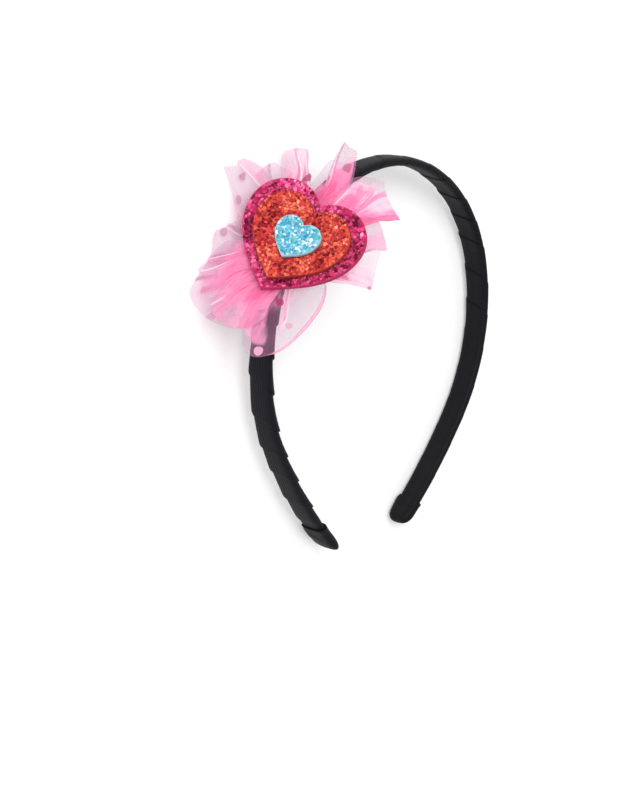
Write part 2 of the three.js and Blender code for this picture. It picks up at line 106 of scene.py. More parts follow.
# A petal starts from its layer. pleats and depth are the waves along its hem and their height in mm, bend
# is how late it rises to the hem, soft is the share of the hem over which its corners are rounded, crinkle
# is how strong its crinkles are, fullness is how closed its net is all over, and columns are those of its
# grid. hem is angle in degrees, reach and rise in mm, from its first edge to its last one. folds are the
# turns of the cloth across it, place along the hem and lift in mm, so a place that goes back is a fold.
# turned is the width in mm of the edge that is turned under at a place. root is how closed the gathered
# net is, and the shares of the way to the hem where it starts and ends to open. drifts are bunches of net
# that run out from the root: place, half width, how closed, the share of the way where each ends, how
# crisp its sides are, and how far its place shifts at the root. gleams are painted highlights on folded
# edges, a pale colour that stands in for their shine: place and share of the way at one end, the same at
# the other end, and half width. A plain petal leaves out turned and gleams.
PLAIN_PETAL = {"turned": ((0, 0), (1, 0)), "gleams": ()}
PETALS = (
    {
        "name": "tulle_petal_1", "layer": BACK_LAYER, "pleats": 2, "depth": 1.2, "bend": 2, "soft": 0.012,
        "crinkle": 1.3, "fullness": 0.11, "columns": 130, "root": (0.5, 0.4, 0.8),
        "hem": (
            (-10, 16.5, -6), (-6, 18.5, -6), (-0.5, 23.5, -6), (3, 31, -6), (12.5, 29.5, -6),
            (19.5, 29, -5.5), (31, 29.5, -5), (31, 32, -5), (41, 31, -5), (52.5, 30.5, -5.5),
            (59, 27, -6),
        ),
        "folds": ((0, 0), (1, 0.4), (0.64, -0.5)),
        "drifts": ((0.2, 0.24, 0.34, 1.5, 6, 0), (0.71, 0.075, 0.26, 1.6, 6, 0)),
    },
    {
        "name": "tulle_petal_2", "layer": FRONT_LAYER, "pleats": 2, "depth": 1.6, "bend": 2, "soft": 0.012,
        "crinkle": 1.5, "fullness": 0.07, "columns": 170, "root": (0.8, 0.42, 0.92),
        "hem": (
            (56, 25, -4), (51.5, 31.5, -4), (48.5, 37.5, -4), (54, 36.5, -3.5), (60, 36, -3),
            (66.5, 37, -3), (70.5, 38.5, -3), (74.5, 38, -3), (79, 37, -3.5), (83, 35.5, -4),
            (87, 32, -4.5), (88, 27, -5),
        ),
        "folds": ((0, 0.4), (0.33, 0.9), (0.29, 0.1), (0.52, 0.8), (0.465, 0), (1, -0.2)),
        "turned": ((0, 1.5), (0.27, 2), (0.31, 0), (1, 0)),
        "gleams": ((0.86, 0.45, 0.83, 0.8, 0.008),),
        "drifts": (
            (0.24, 0.2, 0.72, 1.6, 6, 0), (0.49, 0.035, 0.4, 1.1, 4, 0.03),
            (0.66, 0.15, 0.75, 0.95, 6, 0.02),
        ),
    },
    {
        "name": "tulle_petal_3", "layer": BACK_LAYER, "pleats": 1, "depth": 1.6, "bend": 2, "soft": 0.012,
        "crinkle": 1.2, "fullness": 0.06, "columns": 150, "root": (1.1, 0.4, 0.8),
        "hem": (
            (84, 29, -5), (87.5, 33, -5), (92.5, 41, -4), (97, 41, -4), (100, 42, -4), (101, 39, -4),
            (101, 35.5, -4.5), (103.5, 35.5, -5), (105, 35, -5), (108, 32, -5.5), (113, 27, -6),
        ),
        "folds": (
            (0.53, 1.3), (0.48, 0.9), (0.52, 0.6), (0.02, 0.3), (0.62, 0.1), (0.57, -0.1), (1, -0.3),
        ),
        "gleams": ((0.525, 0.4, 0.525, 1, 0.012),),
        "drifts": (
            (0.18, 0.2, 0.7, 0.97, 6, 0), (0.46, 0.1, 0.6, 0.82, 6, 0), (0.7, 0.16, 0.9, 0.66, 4, 0),
        ),
    },
    {
        "name": "tulle_petal_4", "layer": FRONT_LAYER, "pleats": 1, "depth": 1.4, "bend": 2, "soft": 0.02,
        "crinkle": 1.2, "fullness": 0.19, "columns": 140, "root": (0.75, 0.42, 0.86),
        "hem": (
            (111, 24.5, -4), (116, 30.5, -4), (117, 35, -4), (118.5, 38, -4), (126, 38.5, -4),
            (130.5, 37.5, -4), (132.5, 36, -4), (134, 31, -4), (134.5, 27, -4),
        ),
        "folds": ((0, 0.2), (0.56, 0.6), (0.52, 0.1), (1, -0.3)),
        "turned": ((0, 1.6), (0.4, 1.4), (0.45, 0), (1, 0)),
        "gleams": ((0.515, 0.4, 0.525, 1, 0.012), (0.3, 0.5, 0.4, 0.95, 0.01)),
        "drifts": ((0.545, 0.025, 0.2, 1.2, 3, 0), (0.78, 0.15, 0.14, 1, 2, 0)),
    },
    {
        "name": "tulle_petal_5", "layer": BACK_LAYER, "pleats": 1, "depth": 1.0, "bend": 3, "soft": 0.03,
        "crinkle": 1, "fullness": 0.05, "columns": 70, "root": (0.42, 0.42, 0.84),
        "hem": (
            (128, 31, -5.5), (133, 32, -5.5), (137, 34, -5.5), (141.5, 33.5, -4.5), (145, 33, -3),
            (151, 31, -1),
        ),
        "folds": ((0, 0), (0.55, 0.4), (0.47, -0.3), (1, 0)),
        "drifts": ((0.8, 0.15, 0.12, 1.2, 2, 0),),
    },
    {
        "name": "tulle_petal_6", "layer": BACK_LAYER, "pleats": 1.5, "depth": 0.8, "bend": 5, "soft": 0.01,
        "crinkle": 1.2, "fullness": 0.06, "columns": 150, "root": (0.5, 0.42, 0.8),
        "hem": (
            (140, 23, 1.5), (145, 29, 4), (149, 31, 5.5), (153, 33, 7), (157, 33.5, 7), (158.5, 32, 7),
            (163, 33, 8.5), (166.5, 34.5, 9.5), (168, 31, 8), (172, 27.5, 5), (180.5, 23.5, 1.5),
            (188, 21, -1),
        ),
        "folds": ((0, 0.6), (0.37, 0.8), (1, 0)),
        "gleams": ((0.19, 0.62, 0.378, 1, 0.012),),
        "drifts": ((0.25, 0.12, 0.4, 1.6, 8, -0.5), (0.9, 0.13, 0.3, 1.4, 2, 0)),
    },
    {
        "name": "tulle_petal_7", "layer": BACK_LAYER, "pleats": 1, "depth": 1.0, "bend": 4, "soft": 0.02,
        "crinkle": 1.3, "fullness": 0.05, "columns": 110, "root": (0.35, 0.4, 0.8),
        "hem": (
            (178, 21, -3.5), (186.5, 23, -2.5), (195.5, 25, -1.5), (201.5, 27.5, 0), (205.5, 28, 0.5),
            (212.5, 27.5, 0.5), (222, 28.5, 0),
        ),
        "folds": ((0, 0), (0.33, 0.5), (0.26, -0.3), (1, 0)),
        "gleams": ((0.33, 0.5, 0.36, 1, 0.01),),
        "drifts": ((0.12, 0.17, 0.1, 1.3, 5, 0), (0.38, 0.03, 0.12, 1.1, 2, 0)),
    },
    {
        "name": "tulle_petal_8", "layer": FRONT_LAYER, "pleats": 2, "depth": 1.0, "bend": 2.5, "soft": 0.02,
        "crinkle": 1.5, "fullness": 0.07, "columns": 130, "root": (0.7, 0.4, 0.8),
        "hem": (
            (206, 22, -2.5), (217, 28, -2), (231, 37, -1.5), (238, 38.5, -1.5), (244.5, 39, -2.5),
            (252.5, 38.5, -3), (258, 37, -4), (264, 35.5, -4.5), (270, 34, -5), (276, 32, -5),
            (284, 29, -5),
        ),
        "folds": ((0, 0.2), (0.36, 0.3), (0.31, -0.3), (0.68, 0.3), (0.62, -0.3), (1, 0)),
        "drifts": ((0.5, 0.18, 0.35, 0.9, 4, 0), (0.85, 0.12, 0.2, 1.3, 2, 0)),
    },
    {
        "name": "tulle_petal_8_over", "layer": OVER_LAYER, "pleats": 4, "depth": 1.2, "bend": 2,
        "soft": 0.008, "crinkle": 2.4, "fullness": 0.22, "columns": 220, "root": (0.9, 0.25, 0.85),
        "hem": (
            (207, 17.5, -3), (214, 21.5, -2), (218, 27, -1), (228.5, 33.5, -0.5), (232, 31.5, -1),
            (241.5, 35.5, -1), (246, 29, -1.5), (252.5, 37.5, -2), (253.5, 33, -2), (256, 36, -2.5),
            (264, 35, -3.5), (270, 33.5, -4), (276, 31.5, -4), (285, 27, -4),
        ),
        "folds": (
            (0, 0), (0.2, 0.5), (0.1, 0), (0.43, 0.6), (0.36, 0), (0.74, 0.5), (0.67, 0), (0.93, 0.5),
            (0.85, -0.2), (1, 0),
        ),
        "gleams": ((0.07, 0.55, 0.19, 1, 0.008), (0.244, 0.5, 0.275, 1, 0.006), (0.6, 0.7, 0.58, 1, 0.006)),
        "drifts": (
            (0.06, 0.06, 0.2, 1.1, 2, 0), (0.19, 0.012, 0.25, 1.3, 2, 0), (0.3, 0.05, 0.2, 1.2, 2, 0.04),
            (0.42, 0.012, 0.25, 1.3, 2, 0), (0.56, 0.04, 0.3, 1.1, 2, -0.03), (0.73, 0.015, 0.3, 1.3, 2, 0),
            (0.86, 0.08, 0.3, 1.2, 3, 0), (0.86, 0.045, 0.7, 0.75, 3, 0),
        ),
    },
    {
        "name": "tulle_petal_9", "layer": BACK_LAYER, "pleats": 2, "depth": 0.6, "bend": 2, "soft": 0.018,
        "crinkle": 1.2, "fullness": 0.06, "columns": 180, "root": (0.3, 0.3, 0.5),
        "hem": (
            (271.5, 28, -5), (276.5, 37.5, -6), (283, 40.5, -6), (287.5, 40.5, -6), (294.5, 38, -6),
            (304, 33.5, -6), (316.5, 28, -6), (328.5, 23.5, -6), (337.5, 20, -6), (345, 17, -6),
        ),
        "folds": ((0, 0.4), (0.36, 0.5), (1, 0)),
        "turned": ((0, 0), (0.37, 0), (0.43, 1.3), (0.6, 2), (0.8, 2.2), (1, 2.4)),
        "gleams": ((0.577, 0.28, 0.4, 0.65, 0.01),),
        "drifts": (
            (0.238, 0.138, 0.65, 0.88, 12, -0.19), (0.381, 0.02, 0.5, 0.78, 5, 0.083),
            (0.218, 0.022, 0.55, 0.68, 5, 0.5),
        ),
    },
)

# Flocked dots: petal, share across it, share of the way to its hem, share of a dot's size, and tone from
# pale to deep
DOTS = (
    ("tulle_petal_6", 0.4, 0.9, 1, 0.5),
    ("tulle_petal_6", 0.69, 0.85, 1, 0.4),
    ("tulle_petal_7", 0.53, 0.93, 1, 0.45),
    ("tulle_petal_4", 0.09, 0.94, 1, 0.95),
    ("tulle_petal_3", 0.16, 0.8, 1.1, 0.8),
    ("tulle_petal_9", 0.36, 0.33, 0.95, 1),
    ("tulle_petal_9", 0.49, 0.68, 0.75, 0.5),
    ("tulle_petal_8_over", 0.76, 0.97, 1.05, 0.55),
    ("tulle_petal_9", 0.33, 0.93, 1.15, 0.42),
    ("tulle_petal_1", 0.23, 0.97, 0.45, 0.7),
)


class RibbonSettings(bpy.types.PropertyGroup):
    """Sizes and colour of the wound ribbon"""

    band_width: FloatProperty(
        name="Band width", description="Width of the hoop under its laps, over the crown",
        default=9.5 * MM, min=5 * MM, max=20 * MM, unit="LENGTH",
    )
    tip_width: FloatProperty(
        name="Tip width", description="Width of the hoop at its tips",
        default=9 * MM, min=5 * MM, max=20 * MM, unit="LENGTH",
    )
    thickness: FloatProperty(
        name="Thickness", description="Thickness of the hoop under its laps",
        default=3.3 * MM, min=1 * MM, max=8 * MM, unit="LENGTH",
    )
    lap_pitch: FloatProperty(
        name="Lap pitch", description="Distance from one lap of the ribbon to the next",
        default=13 * MM, min=6 * MM, max=30 * MM, unit="LENGTH",
    )
    lap_height: FloatProperty(
        name="Lap height", description="Height of a lap's edge over the ribbon below it",
        default=0.45 * MM, min=0.1 * MM, max=1 * MM, unit="LENGTH",
    )
    rib_count: IntProperty(
        name="Ribs", description="Ribs of the ribbon's weave round the hoop", default=40, min=8, max=80,
    )
    colour: FloatVectorProperty(
        name="Ribbon colour", description="Colour of the ribbon", subtype="COLOR", size=3, min=0, max=1,
        default=(0.0042, 0.0042, 0.0066),
    )


class HeartSettings(bpy.types.PropertyGroup):
    """Sizes of the glitter hearts and of their flakes"""

    base_width: FloatProperty(
        name="Large heart", description="Width of the large heart", default=45.1 * MM, min=0.02, max=0.1,
        unit="LENGTH",
    )
    middle_width: FloatProperty(
        name="Middle heart", description="Width of the middle heart", default=35.6 * MM, min=0.01, max=0.1,
        unit="LENGTH",
    )
    top_width: FloatProperty(
        name="Small heart", description="Width of the small heart", default=16.8 * MM, min=0.005, max=0.1,
        unit="LENGTH",
    )
    flake_size: FloatProperty(
        name="Flake size", description="Width of a glitter flake", default=1.75 * MM, min=0.3 * MM,
        max=4 * MM, unit="LENGTH",
    )
    flake_pitch: FloatProperty(
        name="Flake pitch", description="Distance from one flake to the next", default=1.0 * MM,
        min=0.3 * MM, max=3 * MM, unit="LENGTH",
    )
    flake_tilt: FloatProperty(
        name="Flake tilt", description="Most that a flake leans out of the face", default=math.radians(12),
        min=0, max=math.radians(60), unit="ROTATION",
    )


class TulleSettings(bpy.types.PropertyGroup):
    """Net, dots and colours of the tulle"""

    net_pitch: FloatProperty(
        name="Net pitch", description="Distance from one thread of the net to the next", default=0.52 * MM,
        min=0.3 * MM, max=3 * MM, unit="LENGTH",
    )
    dot_size: FloatProperty(
        name="Dot size", description="Width of a flocked dot", default=2.9 * MM, min=1 * MM, max=6 * MM,
        unit="LENGTH",
    )
    colour: FloatVectorProperty(
        name="Tulle colour", description="Colour of the tulle", subtype="COLOR", size=3, min=0, max=1,
        default=(1, 0.42, 0.66),
    )
    # The threads' pink, greyed with painted shade of the net's own threads where it is one sheer layer
    shaded_sheer_colour: FloatVectorProperty(
        name="Sheer colour", description="Colour of the tulle's threads where it is one sheer layer",
        subtype="COLOR", size=3, min=0, max=1, default=(0.62, 0.26, 0.46),
    )
    deep_colour: FloatVectorProperty(
        name="Gathered colour", description="Colour of the tulle where it is gathered tightly",
        subtype="COLOR", size=3, min=0, max=1, default=(0.88, 0.18, 0.41),
    )
    dot_colour: FloatVectorProperty(
        name="Dot colour", description="Colour of the deepest dots", subtype="COLOR", size=3, min=0, max=1,
        default=(0.42, 0.035, 0.14),
    )
    pale_dot_colour: FloatVectorProperty(
        name="Pale dot colour", description="Colour of the palest dots", subtype="COLOR", size=3,
        min=0, max=1, default=(0.95, 0.62, 0.78),
    )


class StageSettings(bpy.types.PropertyGroup):
    """Floor, light and camera"""

    floor_colour: FloatVectorProperty(
        name="Floor colour", description="Colour of the floor", subtype="COLOR", size=3, min=0, max=1,
        default=(0.98, 0.98, 0.98),
    )
    sky: FloatProperty(
        name="Room light", description="Brightness of the light from all round", default=0.74, min=0, max=5,
    )
    key: FloatProperty(
        name="Soft key", description="Strength of the soft key light", default=2.2, min=0, max=20,
    )
    lens: FloatProperty(
        name="Lens", description="Focal length of the camera", default=112.6, min=20, max=300,
        unit="CAMERA",
    )


# Shapes


def blend(a, b, t):
    return a + (b - a) * t


def ease(value, low, high):
    t = min(max((value - low) / (high - low), 0), 1)
    return t * t * (3 - 2 * t)


def read_row(rows, t):
    """Values at t of rows whose first value is their place, with straight lines between them"""
    t = min(max(t, rows[0][0]), rows[-1][0])
    for low, high in zip(rows, rows[1:]):
        if t <= high[0]:
            share = (t - low[0]) / max(high[0] - low[0], 1e-9)
            return [blend(a, b, share) for a, b in zip(low[1:], high[1:])]
    return list(rows[-1][1:])


def read_soft(rows, t, soft):
    """As read_row, with the corners rounded over soft to each side"""
    spread = [read_row(rows, t + soft * step) for step in (-1, -0.5, 0, 0.5, 1)]
    return [sum(values) / len(values) for values in zip(*spread)]


def by_length(points, length):
    """Rows whose first value is the share of the way along them"""
    total = [0.0]
    for a, b in zip(points, points[1:]):
        total.append(total[-1] + length(a, b))
    return [(way / total[-1], *point) for way, point in zip(total, points)]


def grid_sheet(columns, rows, place, cloth):
    """A grid laid at place(across, along), with its cloth coordinates in mm as its UV map"""
    bm = bmesh.new()
    bmesh.ops.create_grid(bm, x_segments=columns, y_segments=rows, size=0.5)
    uv = bm.loops.layers.uv.new("cloth")
    for face in bm.faces:
        face.smooth = True
        for loop in face.loops:
            x, y, _ = loop.vert.co
            loop[uv].uv = cloth(round((x + 0.5) * columns), round((y + 0.5) * rows))
    for vert in bm.verts:
        x, y, _ = vert.co
        vert.co = place(round((x + 0.5) * columns), round((y + 0.5) * rows))
    return bm


def mark_creases(bm, angle):
    for edge in bm.edges:
        if edge.is_manifold and edge.calc_face_angle(0) > angle:
            edge.smooth = False


def set_down(bm, name, materials, slot, replaces=()):
    """The finished mesh as an object that rides on the part"""
    mesh = bpy.data.meshes.new(name)
    bm.to_mesh(mesh)
    bm.free()
    for material in materials:
        mesh.materials.append(material)
    piece = bpy.data.objects.new(name, mesh)
    bpy.context.scene.collection.objects.link(piece)
    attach(piece, "root")
    if replaces:
        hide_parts(*replaces)
    return piece


# Places


def lying_place():
    """From the hoop's own millimetres to the frame"""
    axis = Vector((math.sin(RAISED_SIDE), -math.cos(RAISED_SIDE), 0))
    turned = Matrix.Translation(CROWN_PLACE) @ Matrix.Rotation(LIE_TILT, 4, axis)
    return Matrix.Scale(MM, 4) @ turned


def rosette_place():
    """From the rosette's own millimetres to the frame"""
    to_crown = Vector((math.cos(ROSETTE_ARC), math.sin(ROSETTE_ARC), 0))
    outward = Vector((-math.sin(ROSETTE_ARC), math.cos(ROSETTE_ARC), 0))
    forward = Vector((0, 0, 1))
    radius = HOOP_ARCS[0][0]
    centre = Vector((0, -radius, ROSETTE_FORWARD)) + outward * (radius + ROSETTE_OUT)
    seat = Matrix.Translation(centre) @ Matrix((forward, to_crown, outward)).transposed().to_4x4()
    tilt, pitch, spin = ROSETTE_TURNS
    turned = Matrix.Rotation(tilt, 4, "Y") @ Matrix.Rotation(pitch, 4, "X") @ Matrix.Rotation(spin, 4, "Z")
    return lying_place() @ seat @ turned


def hoop_at(distance):
    """Middle line of the hoop at a signed distance from the crown, and its outward way"""
    side = -1 if distance < 0 else 1
    left, turned = abs(distance), 0.0
    x, y = 0.0, -float(HOOP_ARCS[0][0])
    for i, (radius, sweep) in enumerate(HOOP_ARCS):
        length = radius * math.radians(sweep)
        if left <= length or i == len(HOOP_ARCS) - 1:
            turned += left / radius
            x, y = x + radius * math.sin(turned), y + radius * math.cos(turned)
            break
        left -= length
        turned += math.radians(sweep)
        step = radius - HOOP_ARCS[i + 1][0]
        x, y = x + step * math.sin(turned), y + step * math.cos(turned)
    return Vector((side * x, y, 0)), Vector((side * math.sin(turned), math.cos(turned), 0))


def section_at(turn):
    """Across and out of the band's section, rounded between its points, for a share of the way round"""
    count = len(BAND_SECTION)
    i = math.floor(turn * count)
    t = turn * count - i
    a, b, c, d = (Vector(BAND_SECTION[(i + k) % count]) for k in (-1, 0, 1, 2))
    return 0.5 * (2 * b + (c - a) * t + (2 * a - 5 * b + 4 * c - d) * t**2 + (3 * b - a - 3 * c + d) * t**3)


def band_point(ribbon, distance, turn, grown, shrink=1.0, lean=0.0):
    """Point on the band's skin. shrink draws the section in to its middle, and lean to its front edge"""
    across, out = section_at(turn)
    share = ease(abs(distance), TAPER_FROM, ARM_LENGTH[1])
    width = blend(ribbon.band_width, ribbon.tip_width, share) / MM
    line, outward = hoop_at(distance)
    half = width / 2 + grown
    forward = across * half * shrink + lean * half * (1 - shrink)
    return line + outward * (out * (ribbon.thickness / MM / 2 + grown) * shrink) + Vector((0, 0, forward))


# Finishes

# Pitch in mm of the ribbon's cross threads, turn of the net on its cloth, colour of the painted highlight
# on a folded edge that shines, and radians by which a wave texture of scale 1 turns over a unit of length
PICK_PITCH = 0.32
NET_TURN = math.radians(45)
GLEAM_COLOUR = (1, 0.88, 0.94)
WAVE_RATE = 20


def rgba(colour):
    return (*colour[:3], 1.0)


def shade(colour, factor):
    return tuple(min(channel * factor, 1.0) for channel in colour[:3])


def hex_colour(text):
    """Linear colour of a web colour"""
    parts = [int(text[i : i + 2], 16) / 255 for i in (0, 2, 4)]
    return tuple(c / 12.92 if c <= 0.04045 else ((c + 0.055) / 1.055) ** 2.4 for c in parts)


class Finish:
    """A material, built node by node"""

    def __init__(self, name):
        self.material = bpy.data.materials.new(name)
        self.material.use_nodes = True
        self.tree = self.material.node_tree
        self.tree.nodes.clear()

    def add(self, kind, inputs=None, output=0, **settings):
        """An output of a new node. Each of its inputs is a value or another node's output"""
        made = self.tree.nodes.new("ShaderNode" + kind)
        for key, value in settings.items():
            setattr(made, key, value)
        for key, value in (inputs or {}).items():
            if isinstance(value, bpy.types.NodeSocket):
                self.tree.links.new(value, made.inputs[key])
            else:
                made.inputs[key].default_value = value
        return made.outputs[output]

    def attribute(self, name):
        return self.add("Attribute", output="Fac", attribute_name=name)

    def grain(self, scale, detail):
        """Noise by the place on the piece"""
        place = self.add("TexCoord", output="Object")
        return self.add("TexNoise", {"Vector": place, "Scale": scale, "Detail": detail})

    def bands(self, cloth, pitch, way, **uneven):
        """Bands on the cloth at that pitch in mm, across X or Y"""
        inputs = {"Vector": cloth, "Scale": 2 * math.pi / WAVE_RATE / pitch, **uneven}
        return self.add("TexWave", inputs, "Fac", wave_type="BANDS", bands_direction=way)

    def ramp(self, value, *stops, interpolation="LINEAR"):
        """The colour at a value, from stops with a place and a colour each"""
        read = self.add("ValToRGB", {"Fac": value})
        ramp = read.node.color_ramp
        ramp.interpolation = interpolation
        ramp.elements.remove(ramp.elements[1])
        for i, (place, colour) in enumerate(stops):
            stop = ramp.elements[0] if i == 0 else ramp.elements.new(place)
            stop.position = place
            stop.color = rgba(colour)
        return read

    def bump(self, height, strength, distance):
        """The normal over a height, with its distance in mm"""
        return self.add("Bump", {"Height": height, "Strength": strength, "Distance": distance * MM})

    def cover(self, shader):
        """The finished material, with that shader all over it"""
        output = self.tree.nodes.new("ShaderNodeOutputMaterial")
        self.tree.links.new(shader, output.inputs["Surface"])
        return self.material

    def skin(self, inputs):
        return self.cover(self.add("BsdfPrincipled", inputs))


def ribbon_finish(ribbon):
    """Black ribbon with fine ribs along the hoop and a slight sheen"""
    finish = Finish("black_ribbon")
    cloth = finish.add("UVMap", uv_map="cloth")
    uneven = {"Distortion": 0.25, "Detail": 1.0, "Detail Scale": 0.4}
    ribs = finish.bands(cloth, girth_of(ribbon) / ribbon.rib_count, "X", **uneven)
    picks = finish.bands(cloth, PICK_PITCH, "Y")
    fuzz = finish.add("TexNoise", {"Vector": cloth, "Scale": 1.4, "Detail": 4.0, "Roughness": 0.6})
    worn = finish.add("TexNoise", {"Vector": cloth, "Scale": 0.12, "Detail": 2.0})
    rib = finish.add("Math", {0: ribs, 1: finish.attribute("ribbed")}, operation="MULTIPLY")
    weave = finish.add("Math", {0: picks, 1: 0.2, 2: rib}, operation="MULTIPLY_ADD")
    rough = finish.add("Math", {0: fuzz, 1: 0.3, 2: weave}, operation="MULTIPLY_ADD")
    tone = finish.add("Math", {0: worn, 1: 0.5, 2: rib}, operation="MULTIPLY_ADD")
    black = finish.ramp(tone, (0.15, shade(ribbon.colour, 0.55)), (1.0, shade(ribbon.colour, 1.5)))
    # Painted shade: the colour darkens to a tenth in the corners under the laps and under the folded ends
    bare = finish.add("MapRange", {"Value": finish.attribute("painted_shade"), "To Min": 1.0, "To Max": 0.1})
    return finish.skin({
        "Base Color": finish.add("VectorMath", {0: black, 1: bare}, operation="MULTIPLY"),
        "Roughness": finish.add("MapRange", {"Value": fuzz, "To Min": 0.5, "To Max": 0.72}),
        "Normal": finish.bump(rough, 0.7, 0.12),
        "Specular IOR Level": 0.14,
        "Sheen Weight": 0.03,
        "Sheen Roughness": 0.4,
    })


def wound_ribbon(ribbon):
    """The ribbon's finish, made the first time that it is asked for"""
    return bpy.data.materials.get("black_ribbon") or ribbon_finish(ribbon)


def foam_finish(name, colour):
    """Matt foam board with a fine grain"""
    finish = Finish(name)
    patch = finish.grain(260.0, 2.0)
    return finish.skin({
        "Base Color": finish.ramp(patch, (0.3, shade(colour, 0.7)), (0.7, shade(colour, 1.15))),
        "Normal": finish.bump(finish.grain(2600.0, 3.0), 0.5, 0.08),
        "Roughness": 0.8,
        "Specular IOR Level": 0.25,
    })


def bed_finish(name, palette):
    """Fine glitter under the flakes: small cells, each of one colour"""
    finish = Finish(name)
    place = finish.add("TexCoord", output="Object")
    cells = finish.add("TexVoronoi", {"Vector": place, "Scale": 1500.0}, "Color")
    lot = finish.add("SeparateColor", {"Color": cells}, "Red")
    stops = []
    total = 0.0
    for colour, share in palette:
        stops.append((total, shade(hex_colour(colour), 0.8)))
        total += share
    return finish.skin({
        "Base Color": finish.ramp(lot, *stops, interpolation="CONSTANT"),
        "Normal": finish.bump(lot.node.outputs["Green"], 0.6, 0.1),
        "Roughness": 0.4,
        "Metallic": 0.3,
    })


def flake_finish(name, metallic, coat):
    """Foil flakes, each with its own colour"""
    finish = Finish(name)
    scratch = finish.grain(3500.0, 2.0)
    return finish.skin({
        "Base Color": finish.add("Attribute", output="Color", attribute_name="flake_colour"),
        "Roughness": finish.add("MapRange", {"Value": scratch, "To Min": 0.28, "To Max": 0.5}),
        "Metallic": metallic,
        "Coat Weight": coat,
        "Coat Roughness": 0.1,
    })


def tulle_finish(tulle):
    """Sheer pink net. It closes up where the cloth is gathered, folded or cut"""
    finish = Finish("pink_tulle")
    cloth = finish.add("UVMap", uv_map="cloth")

    turned = finish.add("Mapping", {"Vector": cloth, "Rotation": (0, 0, NET_TURN)})
    threads = []
    for way in ("X", "Y"):
        bands = finish.bands(turned, tulle.net_pitch / MM, way, Distortion=0.15)
        threads.append(finish.add("MapRange", {"Value": bands, "From Min": 0.55, "From Max": 0.95}))
    net = finish.add("Math", dict(enumerate(threads)), operation="MAXIMUM")
    sheer = finish.add("MapRange", {"Value": net, "To Min": 0.09, "To Max": 0.3})

    along = finish.add("Mapping", {"Vector": cloth, "Scale": (0.34, 0.035, 1)})
    streaky = {"Vector": along, "Scale": 1.0, "Detail": 3.0, "Roughness": 0.6, "Distortion": 0.2}
    streaks = {"Value": finish.add("TexNoise", streaky), "From Min": 0.33, "From Max": 0.67}
    streak = finish.add("MapRange", {**streaks, "To Min": 0.6, "To Max": 1.35})
    swirly = {"Vector": cloth, "Scale": 0.2, "Detail": 2.0, "Distortion": 1.2}
    swirls = {"Value": finish.add("TexNoise", swirly), "From Min": 0.35, "From Max": 0.65}
    swirl = finish.add("MapRange", {**swirls, "To Min": 0.72, "To Max": 1.3})
    ruffle = finish.add("Math", {0: streak, 1: swirl}, operation="MULTIPLY")
    dense = finish.add("Math", {0: finish.attribute("fullness"), 1: ruffle}, operation="MULTIPLY")

    depth = finish.add("MapRange", {"Value": dense, "From Max": 1.5})
    # The sheer end of the tint is darkened with painted shade of the net's own threads
    tint = finish.ramp(depth, (0.05, tulle.shaded_sheer_colour), (0.27, tulle.colour), (1.0, tulle.deep_colour))
    # Painted highlight: on folded edges the colour turns pale and the net closes
    gleam = finish.attribute("gleam")
    shine = {"Factor": gleam, "A": tint, "B": rgba(GLEAM_COLOUR)}
    colour = finish.add("Mix", shine, "Result", data_type="RGBA")
    closed = finish.add("MapRange", {"Value": dense, "To Min": sheer, "To Max": 0.97})
    closed = finish.add("MapRange", {"Value": gleam, "To Min": closed, "To Max": 0.9})

    front = {"Base Color": colour, "Roughness": 0.5, "Specular IOR Level": 0.35, "Sheen Weight": 0.15}
    skin = finish.add("BsdfPrincipled", front)
    glow = finish.add("BsdfTranslucent", {"Color": colour})
    lit = finish.add("MixShader", {"Fac": 0.4, 1: skin, 2: glow})
    clear = finish.add("BsdfTransparent")
    return finish.cover(finish.add("MixShader", {"Fac": closed, 1: clear, 2: lit}))


def bunch_finish(tulle):
    """Tulle gathered so tightly that it is nearly closed, with painted shade in the hollows of its pleats
    """
    finish = Finish("gathered_tulle")
    deep = tulle.deep_colour
    fine = finish.grain(1800.0, 3.0)
    # Painted shade: darker where the pleats sink in, lighter where they stand out, plus a fine random grain
    pleat_shade_and_grain = finish.add("Math", {0: finish.attribute("pleat"), 1: 0.9, 2: fine}, operation="MULTIPLY_ADD")
    return finish.skin({
        "Base Color": finish.ramp(pleat_shade_and_grain, (0.3, shade(deep, 0.7)), (0.7, shade(deep, 1.05))),
        "Normal": finish.bump(fine, 0.8, 0.3),
        "Roughness": 0.7,
        "Specular IOR Level": 0.25,
    })


def dot_finish(tulle):
    """Short flock on the tulle's dots"""
    finish = Finish("flocked_dot")
    pile = finish.grain(4500.0, 2.0)
    lit = finish.ramp(pile, (0.3, (0.8, 0.8, 0.8)), (0.7, (1, 1, 1)))
    tones = {"A": rgba(tulle.pale_dot_colour), "B": rgba(tulle.dot_colour)}
    tone = finish.add("Mix", {"Factor": finish.attribute("tone"), **tones}, "Result", data_type="RGBA")
    shaded = {"Factor": 1.0, "A": tone, "B": lit}
    return finish.skin({
        "Base Color": finish.add("Mix", shaded, "Result", data_type="RGBA", blend_type="MULTIPLY"),
        "Normal": finish.bump(pile, 0.6, 0.06),
        "Roughness": 0.9,
        "Sheen Weight": 0.3,
        "Alpha": 0.88,
    })


def floor_finish(colour):
    """Matt and nearly even"""
    finish = Finish("pale_floor")
    return finish.skin({
        "Base Color": finish.ramp(finish.grain(900.0, 2.0), (0.0, shade(colour, 0.97)), (1.0, colour)),
        "Roughness": 0.9,
        "Specular IOR Level": 0.0,
    })


# Wound band

# Grid of the band: columns round it, shares of a tip's length at which it has rows, how blunt each tip
# is, gaps in mm that are closed, and the angle from which an edge is sharp
BAND_COLUMNS = 52
TIP_STEPS = (0.2, 0.4, 0.58, 0.73, 0.85, 0.93, 0.98, 1.0)
TIP_POWER = {-1: 2.4, 1: 2.8}
SEAM = 0.002
CREASE = math.radians(40)

